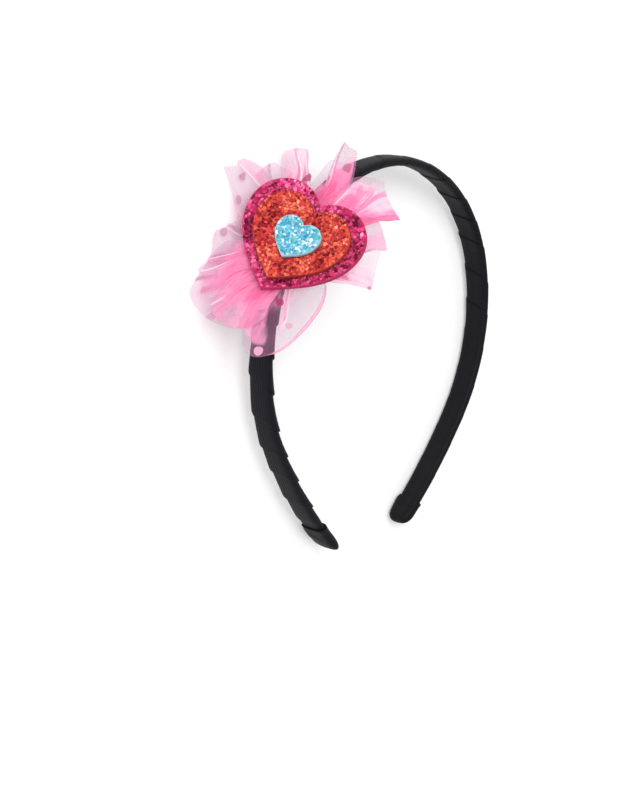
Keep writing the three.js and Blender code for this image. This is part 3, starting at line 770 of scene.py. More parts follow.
# Laps: the waves that make them uneven, as shares of the pitch and radians for each lap, and the share of
# their height that shows over the crown, low on the left arm, low on the right one and inside it, with
# the distances from the crown in mm over which it changes and the inside is creased
LAP_WAVES = ((0.07, 2.1), (0.05, 0.83))
CROWN_LAP = 0.35
LEFT_LAP = 1.15
RIGHT_LAP = 0.2
INNER_LAP = 0.08
LEFT_CHANGE = (50, 95)
RIGHT_CHANGE = (90, 130)
CREASES_START = (15, 35)
CREASES_END = (90, 115)

# How dark the painted shade is in the corners under the laps of each arm and under the folded ends, and
# how far the ribs fade and over which distances from the crown in mm
LAP_SHADE = {-1: 1, 1: 0.45}
MOUTH_SHADE = 0.7
RIB_FADE = 0.85
RIB_CHANGE = (0, 60)

# Folded ends, sizes in mm: slant and bow shape the mouth, corner is how far its front corner stands out,
# and point is how far the tip leans to the front edge. EDGE_GIRTH and WRAP_OVERLAP are shares of the
# hoop's thickness and of its girth.
EDGE_GIRTH = 1.55
WRAP_WALL = 0.7
WRAP_RISE = 0.55
WRAP_CLOTH = 0.4
WRAP_PLY = 0.2
WRAP_ROWS = 14
WRAP_LENGTH = {-1: 13.4, 1: 10.4}
WRAP_SLANT = {-1: 0.3, 1: 0.5}
WRAP_BOW = {-1: 0.8, 1: 0}
WRAP_CORNER = {-1: 0.25, 1: 0.2}
WRAP_POINT = {-1: 0.8, 1: -0.1}
WRAP_NAMES = {-1: ("end_fold_left", "end_wrap_left"), 1: ("end_fold_right", "end_wrap_right")}


def girth_of(ribbon):
    """Length of ribbon round the hoop"""
    return ribbon.band_width / MM * 2 + ribbon.thickness / MM * EDGE_GIRTH


def end_start(side):
    """Distance from the crown at which an arm's rounded end starts"""
    return side * (ARM_LENGTH[side] - TIP_ROUND - WRAP_WALL - WRAP_GAP)


def wrap_mouth(side, across, out):
    """Distance from the crown to the edge of a folded end, at a place of the band's section"""
    shaped = WRAP_SLANT[side] * across - WRAP_BOW[side] * ease(out, 0, 1)
    return side * (ARM_LENGTH[side] - WRAP_LENGTH[side] + shaped)


def tip_point(ribbon, side, share, turn, length, grown):
    """Point of a rounded tip, at a share of its length"""
    power = TIP_POWER[side]
    shrink = (1 - share**power) ** (1 / power)
    distance = end_start(side) + side * share * length
    return band_point(ribbon, distance, turn, grown, shrink, WRAP_POINT[side])


def lap_share(distance, out):
    """Share of a lap's height that shows: all of it low on the left arm, and little low on the right one"""
    if distance < 0:
        return blend(CROWN_LAP, LEFT_LAP, ease(-distance, *LEFT_CHANGE))
    inside = 1 - ease(out, -0.9, -0.2)
    creased = ease(distance, *CREASES_START) * (1 - ease(distance, *CREASES_END))
    creased *= 0.5 + 0.9 * noise.noise(Vector((distance * 0.09, 4, 0)))
    edge = blend(CROWN_LAP, RIGHT_LAP, ease(distance, *RIGHT_CHANGE))
    return blend(edge, INNER_LAP + max(creased, 0), inside)


def close_seams(bm):
    """Close a tube that was laid from a grid, and turn its faces outwards"""
    bmesh.ops.remove_doubles(bm, verts=bm.verts, dist=SEAM)
    bmesh.ops.dissolve_degenerate(bm, edges=bm.edges, dist=SEAM / 2)
    bmesh.ops.recalc_face_normals(bm, faces=bm.faces)


class Winding:
    """The ribbon on the hoop, as columns round it and rows along it. Rows at both ends close the tips"""

    def __init__(self, ribbon):
        self.ribbon = ribbon
        self.pitch = ribbon.lap_pitch / MM
        self.height = ribbon.lap_height / MM
        self.girth = girth_of(ribbon)
        turns = math.ceil(ARM_LENGTH[-1] / self.pitch) + 1
        self.laps = [(turn, *step) for turn in range(-turns, turns + 1) for step in LAP_PROFILE]
        self.rows = len(self.laps) + 2 * len(TIP_STEPS) - 1

    def lap(self, row):
        """Number of a row's lap, share of the pitch behind its edge, and share of its height"""
        return self.laps[min(max(row - len(TIP_STEPS), 0), len(self.laps) - 1)]

    def distance(self, column, row):
        """Signed distance from the crown. The laps are not quite even"""
        turn, along, _ = self.lap(row)
        way = turn + along - column / BAND_COLUMNS
        way += sum(size * math.sin(rate * way) for size, rate in LAP_WAVES)
        return min(max(way * self.pitch, end_start(-1)), end_start(1))

    def mouth(self, column, row):
        """Side of the crown, outward part of the section, and how far off the folded end starts"""
        across, out = section_at(column % BAND_COLUMNS / BAND_COLUMNS)
        side = -1 if self.distance(column, row) < 0 else 1
        return side, out, abs(wrap_mouth(side, across, out))

    def place(self, column, row):
        turn = column % BAND_COLUMNS / BAND_COLUMNS
        for side, step in ((-1, len(TIP_STEPS) - 1 - row), (1, row - len(TIP_STEPS) - len(self.laps))):
            if step >= 0:
                return tip_point(self.ribbon, side, TIP_STEPS[step], turn, TIP_ROUND, -WRAP_RECESS)
        distance = self.distance(column, row)
        _, out, mouth = self.mouth(column, row)
        rise = self.lap(row)[2] * self.height * lap_share(distance, out)
        rise *= 1 - ease(abs(distance), mouth - LAP_FADE, mouth - 1)
        under = ease(abs(distance), mouth + 0.4, mouth + 2)
        return band_point(self.ribbon, distance, turn, blend(rise, -WRAP_RECESS, under))

    def cloth(self, column, row):
        return column / BAND_COLUMNS * self.girth, self.distance(column, row)

    def painted_shade(self, column, row):
        """Painted shade at a point: how dark it is made in the corner under a lap or under a folded end"""
        distance = self.distance(column, row)
        side, out, mouth = self.mouth(column, row)
        corner = self.lap(row)[1] == 1
        lap_corner_shade = corner * LAP_SHADE[side] * min(lap_share(distance, out), 1) ** 2
        return max(lap_corner_shade, MOUTH_SHADE * ease(abs(distance), mouth - 1, mouth))

    def ribbed(self, column, row):
        """How clear the ribs are: they fade from the crown down the right arm"""
        return 1 - RIB_FADE * ease(self.distance(column, row), *RIB_CHANGE)


class HEADBAND_OT_wind_band(bpy.types.Operator):
    """Wind the ribbon round the hoop from the left tip to the right one"""

    bl_idname = "headband.wind_band"
    bl_label = "Wind the band"

    def execute(self, context):
        ribbon = context.scene.headband_ribbon
        winding = Winding(ribbon)
        bm = grid_sheet(BAND_COLUMNS, winding.rows, winding.place, winding.cloth)
        # Painted shade in the corners under the laps and under the folded ends, kept at each point for the
        # finish
        painted_shade = bm.verts.layers.float.new("painted_shade")
        ribbed = bm.verts.layers.float.new("ribbed")
        for i, vert in enumerate(bm.verts):
            row, column = divmod(i, BAND_COLUMNS + 1)
            vert[painted_shade] = winding.painted_shade(column, row)
            vert[ribbed] = winding.ribbed(column, row)
        close_seams(bm)
        mark_creases(bm, CREASE)
        bmesh.ops.transform(bm, matrix=lying_place(), verts=bm.verts)
        set_down(bm, "band_winding", [wound_ribbon(ribbon)], "ribbon", ["wrapped_band"])
        return {"FINISHED"}


class FoldedEnd:
    """The ribbon folded over a tip, from its mouth to the point"""

    def __init__(self, ribbon, side):
        self.ribbon = ribbon
        self.side = side
        self.girth = girth_of(ribbon)
        self.rows = WRAP_ROWS + len(TIP_STEPS)

    def place(self, column, row):
        turn = column % BAND_COLUMNS / BAND_COLUMNS
        if row > WRAP_ROWS:
            share = TIP_STEPS[row - WRAP_ROWS - 1]
            length = TIP_ROUND + WRAP_GAP + WRAP_WALL
            return tip_point(self.ribbon, self.side, share, turn, length, WRAP_RISE)
        across, out = section_at(turn)
        share = row / WRAP_ROWS
        distance = blend(wrap_mouth(self.side, across, out), end_start(self.side), share)
        ply = WRAP_PLY * ease(share - 0.5 * across, 0.62, 0.68) * (1 - ease(share, 0.7, 1))
        corner = WRAP_CORNER[self.side] * ease(across, 0.55, 1) * (1 - ease(share, 0, 0.45))
        return band_point(self.ribbon, distance, turn, WRAP_RISE + ply + corner)

    def cloth(self, column, row):
        return column / BAND_COLUMNS * self.girth, row / self.rows * WRAP_LENGTH[self.side]


class HEADBAND_OT_fold_ends(bpy.types.Operator):
    """Fold the ribbon's ends over the two tips"""

    bl_idname = "headband.fold_ends"
    bl_label = "Fold the ends"

    def execute(self, context):
        ribbon = context.scene.headband_ribbon
        for side, (name, solid) in WRAP_NAMES.items():
            end = FoldedEnd(ribbon, side)
            bm = grid_sheet(BAND_COLUMNS, end.rows, end.place, end.cloth)
            close_seams(bm)
            bmesh.ops.transform(bm, matrix=lying_place(), verts=bm.verts)
            piece = set_down(bm, name, [wound_ribbon(ribbon)], "ribbon", [solid])
            wall = piece.modifiers.new("ribbon_wall", "SOLIDIFY")
            wall.thickness = WRAP_CLOTH * MM
            wall.offset = -1
        return {"FINISHED"}


# Hearts: colours of the glitter, each with its share

MAGENTA = (("65022a", 0.17), ("961044", 0.22), ("bb2358", 0.25), ("dc4078", 0.22), ("f26fa2", 0.14))
ORANGE = (
    ("6c0a0e", 0.13), ("a01c22", 0.22), ("c03236", 0.22), ("d84c3e", 0.2), ("e86040", 0.13),
    ("f47e62", 0.1),
)
BLUE = (
    ("2f8fb8", 0.15), ("3aa2c6", 0.2), ("5cb6d2", 0.19), ("58bdb4", 0.1), ("9cd2dc", 0.14),
    ("bccbe4", 0.08), ("e6f2f2", 0.1), ("a6dcc0", 0.04),
)

# Each heart: front and thickness in mm, shift to the right and up, colours and gloss, grain of its flakes
# and how patchy their painted highlight and shade are
HEARTS = (
    {
        "name": "heart_base", "width": "base_width", "front": 0, "thickness": 2.0, "right": 0, "up": 0,
        "foam": "b8265f", "palette": MAGENTA, "slot": "magenta_glitter", "metallic": 0.75, "coat": 0.0,
        "grain": 1.08, "patches": 1.2,
    },
    {
        "name": "heart_middle", "width": "middle_width", "front": 1.95, "thickness": 1.6, "right": 0.4,
        "up": -0.1, "foam": "a02a1c", "palette": ORANGE, "slot": "orange_glitter", "metallic": 0.75,
        "coat": 0.0, "grain": 0.95, "patches": 1.1,
    },
    {
        "name": "heart_top", "width": "top_width", "front": 3.9, "thickness": 1.6, "right": 0.9, "up": 0.6,
        "foam": "9fc3cf", "palette": BLUE, "slot": "blue_glitter", "metallic": 0.45, "coat": 0.3,
        "grain": 0.88, "patches": 0.2,
    },
)
FOAM_EDGE = 0.3

# Glitter: distance of its rows and how far a flake strays from its place, as shares of the pitch, shares
# of the flakes' size and brightness, how narrow the narrowest one is, the bare edge of a heart, the lift
# of the flakes and how high they lie on each other, in mm, and the patches of painted highlight and shade,
# where flakes catch or miss the light together, each with its strength, how often it changes and its shift
ROW_STEP = 0.87
STRAY = 0.4
FLAKE_SIZES = (0.6, 1.0)
FLAKE_TONES = (0.85, 1.15)
NARROW = 0.42
BARE_EDGE = 0.1
FLAKE_LIFT = 0.04
HEAPED = 0.16
PAINTED_LIGHT_PATCHES = ((0.6, 0.13, 7.3), (0.3, 0.4, 3.1))
FIRST_SEED = 11


def heart_outline(sizes, heart):
    """Points round a heart, from its notch over the right lobe"""
    width = getattr(sizes, heart["width"]) / MM
    lobe = LOBE_RADIUS * width
    lobe_x = width / 2 - lobe
    middle = heart["up"] + CENTRE_SHIFT * width
    notch = math.acos(-lobe_x / lobe)
    tip = Vector((0, middle - TIP_DEPTH * width))
    side = Vector((width / 2, middle))
    side_handle = side - Vector((0, SIDE_HANDLE * width))
    tip_handle = tip + TIP_HANDLE * width * Vector((math.sin(TIP_ANGLE), math.cos(TIP_ANGLE)))
    half = []
    for i in range(HEART_STEPS):
        angle = notch * (1 - i / HEART_STEPS)
        half.append(Vector((lobe_x + lobe * math.cos(angle), middle + lobe * math.sin(angle))))
    for i in range(HEART_STEPS):
        t = i / HEART_STEPS
        near_side = side * (1 - t) ** 3 + 3 * side_handle * t * (1 - t) ** 2
        half.append(near_side + 3 * tip_handle * t**2 * (1 - t) + tip * t**3)
    other = [Vector((-point.x, point.y)) for point in reversed(half[1:])]
    return [point + Vector((heart["right"], 0)) for point in [*half, tip, *other]]


class Outline:
    """A closed outline that tells how far inside it a point lies"""

    def __init__(self, points):
        self.points = points
        self.near = kdtree.KDTree(len(points))
        for i, point in enumerate(points):
            self.near.insert(point.to_3d(), i)
        self.near.balance()

    def depth(self, point):
        inside = False
        for a, b in zip(self.points, [*self.points[1:], self.points[0]]):
            if (a.y > point.y) != (b.y > point.y):
                inside ^= point.x < (b.x - a.x) * (point.y - a.y) / (b.y - a.y) + a.x
        away = self.near.find(point.to_3d())[2]
        return away if inside else -away


class HEADBAND_OT_cut_hearts(bpy.types.Operator):
    """Cut the three foam hearts"""

    bl_idname = "headband.cut_hearts"
    bl_label = "Cut the hearts"

    def execute(self, context):
        sizes = context.scene.headband_hearts
        for heart in HEARTS:
            outline = heart_outline(sizes, heart)
            bm = bmesh.new()
            bmesh.ops.create_circle(bm, cap_ends=True, segments=len(outline), radius=1)
            bm.verts.ensure_lookup_table()
            for vert, point in zip(bm.verts, outline):
                vert.co = (point.x, point.y, heart["front"] - heart["thickness"])
            grown = bmesh.ops.extrude_face_region(bm, geom=list(bm.faces))
            lifted = [item for item in grown["geom"] if isinstance(item, bmesh.types.BMVert)]
            bmesh.ops.translate(bm, verts=lifted, vec=(0, 0, heart["thickness"]))
            bmesh.ops.recalc_face_normals(bm, faces=bm.faces)
            caps = [face for face in bm.faces if len(face.verts) > 4]
            rims = {edge for face in caps for edge in face.edges}
            bmesh.ops.bevel(
                bm, geom=list(rims), offset=FOAM_EDGE, offset_type="OFFSET", segments=3, profile=0.5,
                affect="EDGES", material=-1,
            )
            for face in bm.faces:
                face.smooth = len(face.verts) <= 4
                face.material_index = int(len(face.verts) > 4 and face.normal.z > 0.5)
            bmesh.ops.transform(bm, matrix=rosette_place(), verts=bm.verts)
            foam = foam_finish(heart["name"] + "_foam", hex_colour(heart["foam"]))
            bed = bed_finish(heart["name"] + "_bed", heart["palette"])
            set_down(bm, heart["name"] + "_board", [foam, bed], heart["slot"], [heart["name"]])
        return {"FINISHED"}


def flake_spots(reach, step, chance):
    """Places in rows that are shifted by half a step, each of them strayed a little"""
    count = math.ceil(reach / step)
    for i in range(-count, count + 1):
        for j in range(-count, count + 1):
            x = (i + 0.5 * (j % 2)) * step + chance.uniform(-STRAY, STRAY) * step
            yield Vector((x, j * step * ROW_STEP + chance.uniform(-STRAY, STRAY) * step))


def flake_colour(heart, spot, chance):
    """A colour of the palette, made darker or lighter over a few millimetres by painted highlight and shade
    """
    patches = heart["patches"]
    patch = 0
    for strength, often, shift in PAINTED_LIGHT_PATCHES:
        patch += strength * noise.noise(Vector((spot.x * often, spot.y * often, shift * patches)))
    pick = 0.5 + (chance.random() - 0.5) * (1 - 0.15 * patches) + patches * patch
    pick = min(max(pick, 0), 0.999)
    for text, share in heart["palette"]:
        pick -= share
        if pick < 0:
            break
    return shade(hex_colour(text), chance.uniform(*FLAKE_TONES))


def lay_flake(bm, spot, front, size, most_lean, chance):
    """One flake, leaning and turned by chance"""
    lean = most_lean * chance.random() ** 0.8
    way = chance.uniform(0, 2 * math.pi)
    turned = Matrix.Rotation(way, 4, "Z") @ Matrix.Rotation(lean, 4, "X")
    turned = turned @ Matrix.Rotation(chance.uniform(0, 2), 4, "Z")
    turned = turned @ Matrix.Diagonal((1, chance.uniform(NARROW, 1), 1, 1))
    lift = front + FLAKE_LIFT + size * math.sin(lean) * 0.8 + chance.uniform(0, HEAPED)
    place = Matrix.Translation((spot.x, spot.y, lift)) @ turned
    corners = chance.choice((4, 5, 6))
    return bmesh.ops.create_circle(bm, cap_ends=True, segments=corners, radius=size, matrix=place)["verts"]


class HEADBAND_OT_strew_glitter(bpy.types.Operator):
    """Strew flakes of glitter over the faces of the hearts, where the next heart leaves them bare"""

    bl_idname = "headband.strew_glitter"
    bl_label = "Strew the glitter"

    def execute(self, context):
        sizes = context.scene.headband_hearts
        outlines = [Outline(heart_outline(sizes, heart)) for heart in HEARTS]
        for level, heart in enumerate(HEARTS):
            chance = random.Random(FIRST_SEED + level)
            widest = sizes.flake_size / MM / 2 * heart["grain"]
            own, *above = outlines[level : level + 2]
            reach = max(point.length for point in own.points)
            bm = bmesh.new()
            tint = bm.verts.layers.float_color.new("flake_colour")
            for spot in flake_spots(reach, sizes.flake_pitch / MM * heart["grain"], chance):
                size = widest * chance.uniform(*FLAKE_SIZES)
                hidden = any(outline.depth(spot) > -BARE_EDGE - 0.8 * size for outline in above)
                if hidden or own.depth(spot) < BARE_EDGE + 0.75 * size:
                    continue
                colour = flake_colour(heart, spot, chance)
                for vert in lay_flake(bm, spot, heart["front"], size, sizes.flake_tilt, chance):
                    vert[tint] = rgba(colour)
            bmesh.ops.transform(bm, matrix=rosette_place(), verts=bm.verts)
            finish = flake_finish(heart["slot"], heart["metallic"], heart["coat"])
            set_down(bm, heart["name"] + "_glitter", [finish], heart["slot"])
        return {"FINISHED"}


# Tulle

# Rows of a petal's grid, how much closer they lie at its hem, and rows and width in mm of its turned edge
PETAL_ROWS = 44
HEM_CROWDING = 1.25
TURN_ROWS = 3
TURN_WIDTH = 2
PETAL_SEAM = 0.004

# Shares of a petal: cloth in the turn of a fold, how far folds are rounded, and step to read its slope
FOLD_TURN = 0.01
FOLD_SOFTNESS = 0.008
SLOPE_STEP = 0.004

# Steps at which a petal's lines and its flat cut are measured
LINE_STEPS = 80
CUT_STEPS = 300

# Noise of the petals: step of the seed from one to the next, sway in degrees, and crinkles, each with its
# height in mm, how often it changes across a petal and along it, and its shift
SEED_STEP = 3.7
SWAY = 9
CRINKLES = ((0.45, 9, 1.8, 0), (0.2, 26, 4, 5))

# How closed the net is at a cut edge, how far that reaches in mm, and how closed a turned edge is
CUT_EDGE = 0.1
CUT_EDGE_REACH = 0.4
TURNED_EDGE = 0.2

# A dot's corners, and its height in mm over the tulle at its rim and its crown above that
DOT_CORNERS = 20
DOT_LIFT = 0.12
DOT_CROWN = 0.12

# Gathered centre in mm: longest edge of its mesh, gaps and slivers that are closed, and its pleats, with
# how often they change round it and out from its middle
GATHER_EDGE = 0.8
GATHER_ROUNDS = 4
GATHER_SEAM = 0.001
GATHER_SLIVER = 0.01
PLEAT_HEIGHT = 0.5
PLEAT_INSET = 0.1
PLEATS_ROUND = 4.5
PLEATS_OUT = 0.12


def polar(angle, reach, height):
    """Place at an angle in degrees and a reach from the rosette's middle"""
    turn = math.radians(angle)
    return reach * math.cos(turn), reach * math.sin(turn), height


def line_length(points):
    return sum((b - a).length for a, b in zip(points, points[1:]))


def rest_height(height):
    """Height over the floor, with a rounded foot where the cloth lies on it"""
    over = height - RESTING
    if over <= -FLOOR_SOFTNESS:
        return RESTING
    if over >= FLOOR_SOFTNESS:
        return height
    return RESTING + (over + FLOOR_SOFTNESS) ** 2 / (4 * FLOOR_SOFTNESS)


class Petal:
    """One petal of the rosette, as a sheet of cloth from its root to its hem"""

    def __init__(self, row, seed, place):
        self.row = {**PLAIN_PETAL, **row}
        self.seed = seed
        self.place = Matrix.Scale(1 / MM, 4) @ place
        self.hem = by_length(row["hem"], lambda a, b: math.dist(polar(*a), polar(*b)))
        self.folds = by_length(row["folds"], lambda a, b: abs(a[0] - b[0]) + FOLD_TURN)
        shares = [i / LINE_STEPS for i in range(LINE_STEPS + 1)]
        self.width = line_length([self.point(share, 1) for share in shares])
        self.root_width = line_length([self.point(share, 0) for share in shares])
        self.length = line_length([self.point(0.5, share) for share in shares])

    def fold_at(self, across):
        """Place along the hem, and lift, at a share across the folded petal"""
        return read_soft(self.folds, across, FOLD_SOFTNESS)

    def turned_at(self, place):
        """Width of the turned edge"""
        return read_row(self.row["turned"], place)[0]

    def pleat_at(self, place):
        return self.row["depth"] * math.cos(2 * math.pi * self.row["pleats"] * place)

    def cut(self):
        """Width, length and area of the cloth laid flat, as a fan with its folds and pleats opened"""
        width, length, area = 0, 0, 0
        hem = []
        for i in range(CUT_STEPS + 1):
            place = self.fold_at(i / CUT_STEPS)[0]
            angle, reach, rise = read_soft(self.hem, place, self.row["soft"])
            hem.append((angle, reach, rise + self.pleat_at(place), self.turned_at(place)))
        for (angle, reach, height, turned), (next_angle, _, next_height, _) in zip(hem, hem[1:]):
            turn = abs(math.radians(next_angle - angle))
            wide = math.hypot(turn * reach, next_height - height)
            far = math.hypot(reach - PETAL_ROOT, height - self.row["layer"]) + turned
            width += wide
            length = max(length, far)
            area += (wide + turn * PETAL_ROOT) / 2 * far
        return width, length, area

    def point(self, across, along, under=0.0):
        """Point of the cloth in the frame, in mm. under is the share of the edge's turning that is done"""
        layer = self.row["layer"]
        place, lift = self.fold_at(across)
        angle, reach, rise = read_soft(self.hem, place, self.row["soft"])
        turned = under * self.turned_at(place)
        along -= turned / (reach - PETAL_ROOT)
        sway = SWAY * noise.noise(Vector((place * 3.5 + self.seed, along * 1.6, 9 - self.seed)))
        angle += sway * along * (1 - along) * 4
        curl = 1 if layer >= FRONT_LAYER else -1
        crinkle = 0
        for rough, wide, far, shift in CRINKLES:
            spot = Vector((across * wide + self.seed, along * far, self.seed + shift))
            crinkle += rough * noise.noise(spot)
        creased = self.row["crinkle"] * crinkle * (0.3 + 0.9 * along)
        height = layer + (rise - layer) * along ** self.row["bend"] + curl * self.pleat_at(place) * along**2
        height += lift * (0.3 + 0.7 * along) + creased - 0.5 * min(turned, 1)
        spot = self.place @ Vector(polar(angle, blend(PETAL_ROOT, reach, along), height))
        spot.z = rest_height(spot.z)
        return spot

    def slope(self, across, along):
        """Ways across and out at a place of the cloth, in mm for a whole share"""
        wide = self.point(across + SLOPE_STEP, along) - self.point(across - SLOPE_STEP, along)
        far = self.point(across, along + SLOPE_STEP) - self.point(across, along - SLOPE_STEP)
        return wide / (2 * SLOPE_STEP), far / (2 * SLOPE_STEP)

    def fullness(self, across, along, under):
        """How closed the net is: at the root, in drifts, along cut edges and where an edge is turned"""
        closed, low, high = self.row["root"]
        place = self.fold_at(across)[0]
        full = self.row["fullness"] + closed * (1 - ease(along, low, high))
        for middle, half, strength, end, crisp, lean in self.row["drifts"]:
            aside = place - middle - lean * (1 - along)
            inside = math.exp(-(abs(aside / half) ** crisp))
            full += strength * inside * (1 - ease(along, end - 0.9 / crisp, end))
        to_hem = (1 - along) * self.length
        to_side = min(across, 1 - across) * blend(self.root_width, self.width, along)
        full += CUT_EDGE * math.exp(-min(to_hem, to_side) / CUT_EDGE_REACH)
        turned = self.turned_at(place)
        full += TURNED_EDGE * ease(turned, 0, 1) * (under > 0 or to_hem < turned)
        return full

    def gleam(self, across, along):
        """How much painted highlight the cloth shows on a folded edge"""
        place = self.fold_at(across)[0]
        shine = 0
        for start, first, end, last, half in self.row["gleams"]:
            share = (along - first) / (last - first)
            aside = place - blend(start, end, share)
            faded = ease(share, 0, 0.3) * (1 - ease(share, 0.9, 1))
            shine = max(shine, faded * math.exp(-((aside / half) ** 2)))
        return shine

    def shares(self, column, row):
        """Shares across the petal, of the way to its hem and of its turned edge, at a place of its grid"""
        across = column / self.row["columns"]
        if row > PETAL_ROWS:
            return across, 1.0, (row - PETAL_ROWS) / TURN_ROWS
        return across, 1 - (1 - row / PETAL_ROWS) ** HEM_CROWDING, 0.0

    def laid(self, column, row):
        return self.point(*self.shares(column, row))

    def cloth(self, column, row):
        across, along, under = self.shares(column, row)
        return across * self.width, along * self.length + under * TURN_WIDTH


def petals():
    place = rosette_place()
    return {row["name"]: Petal(row, SEED_STEP * (i + 1), place) for i, row in enumerate(PETALS)}


class HEADBAND_OT_fold_petals(bpy.types.Operator):
    """Fold the petals of tulle round the gathered centre"""

    bl_idname = "headband.fold_petals"
    bl_label = "Fold the petals"

    def execute(self, context):
        finish = tulle_finish(context.scene.headband_tulle)
        for name, petal in petals().items():
            columns = petal.row["columns"]
            bm = grid_sheet(columns, PETAL_ROWS + TURN_ROWS, petal.laid, petal.cloth)
            full = bm.verts.layers.float.new("fullness")
            shine = bm.verts.layers.float.new("gleam")
            for i, vert in enumerate(bm.verts):
                row, column = divmod(i, columns + 1)
                across, along, under = petal.shares(column, row)
                vert[full] = petal.fullness(across, along, under)
                vert[shine] = petal.gleam(across, along)
            bmesh.ops.remove_doubles(bm, verts=bm.verts, dist=PETAL_SEAM)
            bmesh.ops.transform(bm, matrix=Matrix.Scale(MM, 4), verts=bm.verts)
            solids = [name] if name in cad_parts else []
            piece = set_down(bm, name.replace("tulle_", "tulle_leaf_"), [finish], "tulle", solids)
            width, length, area = petal.cut()
        return {"FINISHED"}


class HEADBAND_OT_flock_dots(bpy.types.Operator):
    """Flock the dots on the tulle"""

    bl_idname = "headband.flock_dots"
    bl_label = "Flock the dots"

    def execute(self, context):
        tulle = context.scene.headband_tulle
        made = petals()
        front = rosette_place().to_3x3() @ Vector((0, 0, 1))
        bm = bmesh.new()
        tones = bm.verts.layers.float.new("tone")
        for name, across, along, size, tone in DOTS:
            petal = made[name]
            radius = size * tulle.dot_size / MM / 2
            side, out = petal.slope(across, along)
            skew = out.dot(side.normalized())
            square = (out - skew * side.normalized()).length
            up = side.cross(out).normalized()
            if up.dot(front) < 0:
                up.negate()
            disc = bmesh.ops.create_circle(
                bm, cap_ends=True, cap_tris=True, segments=DOT_CORNERS, radius=radius,
            )
            for vert in disc["verts"]:
                x, y, _ = vert.co
                vert[tones] = tone
                spot = petal.point(across + (x - skew * y / square) / side.length, along + y / square)
                vert.co = spot + up * (DOT_LIFT + DOT_CROWN * (1 - (x * x + y * y) / radius**2))
        bmesh.ops.transform(bm, matrix=Matrix.Scale(MM, 4), verts=bm.verts)
        for face in bm.faces:
            face.smooth = True
        set_down(bm, "tulle_dots", [dot_finish(tulle)], "tulle")
        return {"FINISHED"}


class HEADBAND_OT_gather_centre(bpy.types.Operator):
    """Gather the tulle behind the large heart, on its seat over the band"""

    bl_idname = "headband.gather_centre"
    bl_label = "Gather the centre"

    def execute(self, context):
        tulle = context.scene.headband_tulle
        bm = bmesh.new()
        bm.from_mesh(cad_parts["tulle_gather"].data)
        bmesh.ops.remove_doubles(bm, verts=bm.verts, dist=GATHER_SEAM * MM)
        for _ in range(GATHER_ROUNDS):
            long_edges = [edge for edge in bm.edges if edge.calc_length() > GATHER_EDGE * MM]
            bmesh.ops.subdivide_edges(bm, edges=long_edges, cuts=1)
            bmesh.ops.triangulate(bm, faces=[face for face in bm.faces if len(face.verts) > 3])
        bmesh.ops.dissolve_degenerate(bm, edges=bm.edges, dist=GATHER_SLIVER * MM)
        bm.normal_update()
        pleat = bm.verts.layers.float.new("pleat")
        to_rosette = rosette_place().inverted()
        moves = []
        for vert in bm.verts:
            local = to_rosette @ vert.co
            radius = math.hypot(local.x, local.y)
            way = Vector((local.x, local.y)).normalized() * PLEATS_ROUND
            vert[pleat] = noise.noise(Vector((way.x, way.y, PLEATS_OUT * radius))) * ease(radius, 0, 3)
            moves.append(vert.normal * (PLEAT_HEIGHT * vert[pleat] - PLEAT_INSET) * MM)
        for vert, move in zip(bm.verts, moves):
            vert.co += move
        for face in bm.faces:
            face.smooth = True
        set_down(bm, "tulle_bunch", [bunch_finish(tulle)], "tulle", ["tulle_gather"])
        return {"FINISHED"}


# Stage: places in metres, and the camera's turns about X, Y and Z in degrees

FLOOR_SIZE = 6
FLOOR_DROP = 0.05 * MM
KEY_PLACE = (-0.9, 0.7, 1.2)
KEY_SOFTNESS = math.radians(48)
CAMERA_PLACE = (-0.6452, 0.1681, 0.6047)
CAMERA_TURN = (-14.02, -46.12, 2.65)
CAMERA_SEES = (0.01, 50)
SENSOR_WIDTH = 36
SHEER_LAYERS = 32


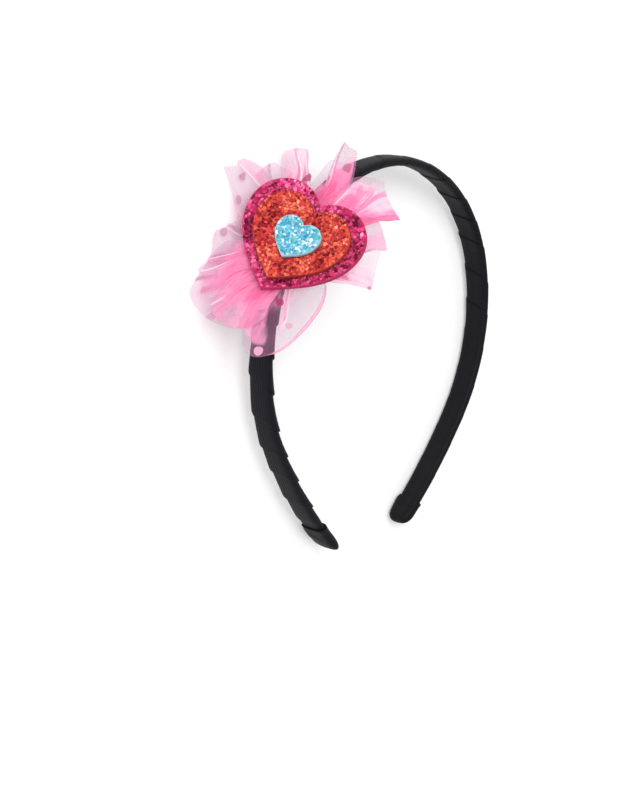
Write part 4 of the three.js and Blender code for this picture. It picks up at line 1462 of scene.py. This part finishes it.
class HEADBAND_OT_set_stage(bpy.types.Operator):
    """Lay the floor and set the lights and the camera"""

    bl_idname = "headband.set_stage"
    bl_label = "Set the stage"

    def execute(self, context):
        stage = context.scene.headband_stage
        scene = context.scene
        bm = bmesh.new()
        bmesh.ops.create_grid(bm, x_segments=2, y_segments=2, size=FLOOR_SIZE)
        bmesh.ops.translate(bm, verts=bm.verts, vec=(0, 0, -FLOOR_DROP))
        mesh = bpy.data.meshes.new("floor")
        bm.to_mesh(mesh)
        bm.free()
        mesh.materials.append(floor_finish(stage.floor_colour))
        floor = bpy.data.objects.new("floor", mesh)
        scene.collection.objects.link(floor)

        world = bpy.data.worlds.new("room")
        world.use_nodes = True
        room = world.node_tree.nodes["Background"]
        room.inputs["Color"].default_value = (1, 1, 1, 1)
        room.inputs["Strength"].default_value = stage.sky
        scene.world = world

        soft = bpy.data.lights.new("soft_key", "SUN")
        soft.angle = KEY_SOFTNESS
        soft.energy = stage.key
        lamp = bpy.data.objects.new("soft_key", soft)
        lamp.location = KEY_PLACE
        lamp.rotation_euler = (-lamp.location).to_track_quat("-Z", "Y").to_euler()
        scene.collection.objects.link(lamp)

        eye = bpy.data.cameras.new("camera")
        eye.lens = stage.lens
        eye.sensor_width = SENSOR_WIDTH
        eye.clip_start, eye.clip_end = CAMERA_SEES
        camera = bpy.data.objects.new("camera", eye)
        camera.location = CAMERA_PLACE
        camera.rotation_euler = [math.radians(angle) for angle in CAMERA_TURN]
        scene.collection.objects.link(camera)
        scene.camera = camera
        scene.view_settings.view_transform = "Standard"
        scene.cycles.transparent_max_bounces = SHEER_LAYERS
        return {"FINISHED"}


class HEADBAND_PT_parts(bpy.types.Panel):
    """Sizes, colours and pieces of the headband"""

    bl_idname = "HEADBAND_PT_parts"
    bl_label = "Heart headband"
    bl_space_type = "VIEW_3D"
    bl_region_type = "UI"
    bl_category = "Headband"

    def draw(self, context):
        layout = self.layout
        for title, name, _ in SETTINGS:
            box = layout.box()
            box.label(text=title)
            group = getattr(context.scene, name)
            for key in group.__annotations__:
                box.prop(group, key)
        column = layout.column(align=True)
        for operator in OPERATORS:
            column.operator(operator.bl_idname)


OPERATORS = (
    HEADBAND_OT_set_stage,
    HEADBAND_OT_wind_band,
    HEADBAND_OT_fold_ends,
    HEADBAND_OT_gather_centre,
    HEADBAND_OT_fold_petals,
    HEADBAND_OT_flock_dots,
    HEADBAND_OT_cut_hearts,
    HEADBAND_OT_strew_glitter,
)
SETTINGS = (
    ("Ribbon", "headband_ribbon", RibbonSettings),
    ("Hearts", "headband_hearts", HeartSettings),
    ("Tulle", "headband_tulle", TulleSettings),
    ("Stage", "headband_stage", StageSettings),
)
CLASSES = (*[group for _, _, group in SETTINGS], *OPERATORS, HEADBAND_PT_parts)


def register():
    for item in CLASSES:
        bpy.utils.register_class(item)
    for _, name, group in SETTINGS:
        setattr(bpy.types.Scene, name, PointerProperty(type=group))


def unregister():
    for _, name, _ in SETTINGS:
        delattr(bpy.types.Scene, name)
    for item in reversed(CLASSES):
        bpy.utils.unregister_class(item)


def main():
    register()
    bpy.ops.headband.set_stage()
    bpy.ops.headband.wind_band()
    bpy.ops.headband.fold_ends()
    bpy.ops.headband.gather_centre()
    bpy.ops.headband.fold_petals()
    bpy.ops.headband.flock_dots()
    bpy.ops.headband.cut_hearts()
    bpy.ops.headband.strew_glitter()


if __name__ == "__main__":
    main()
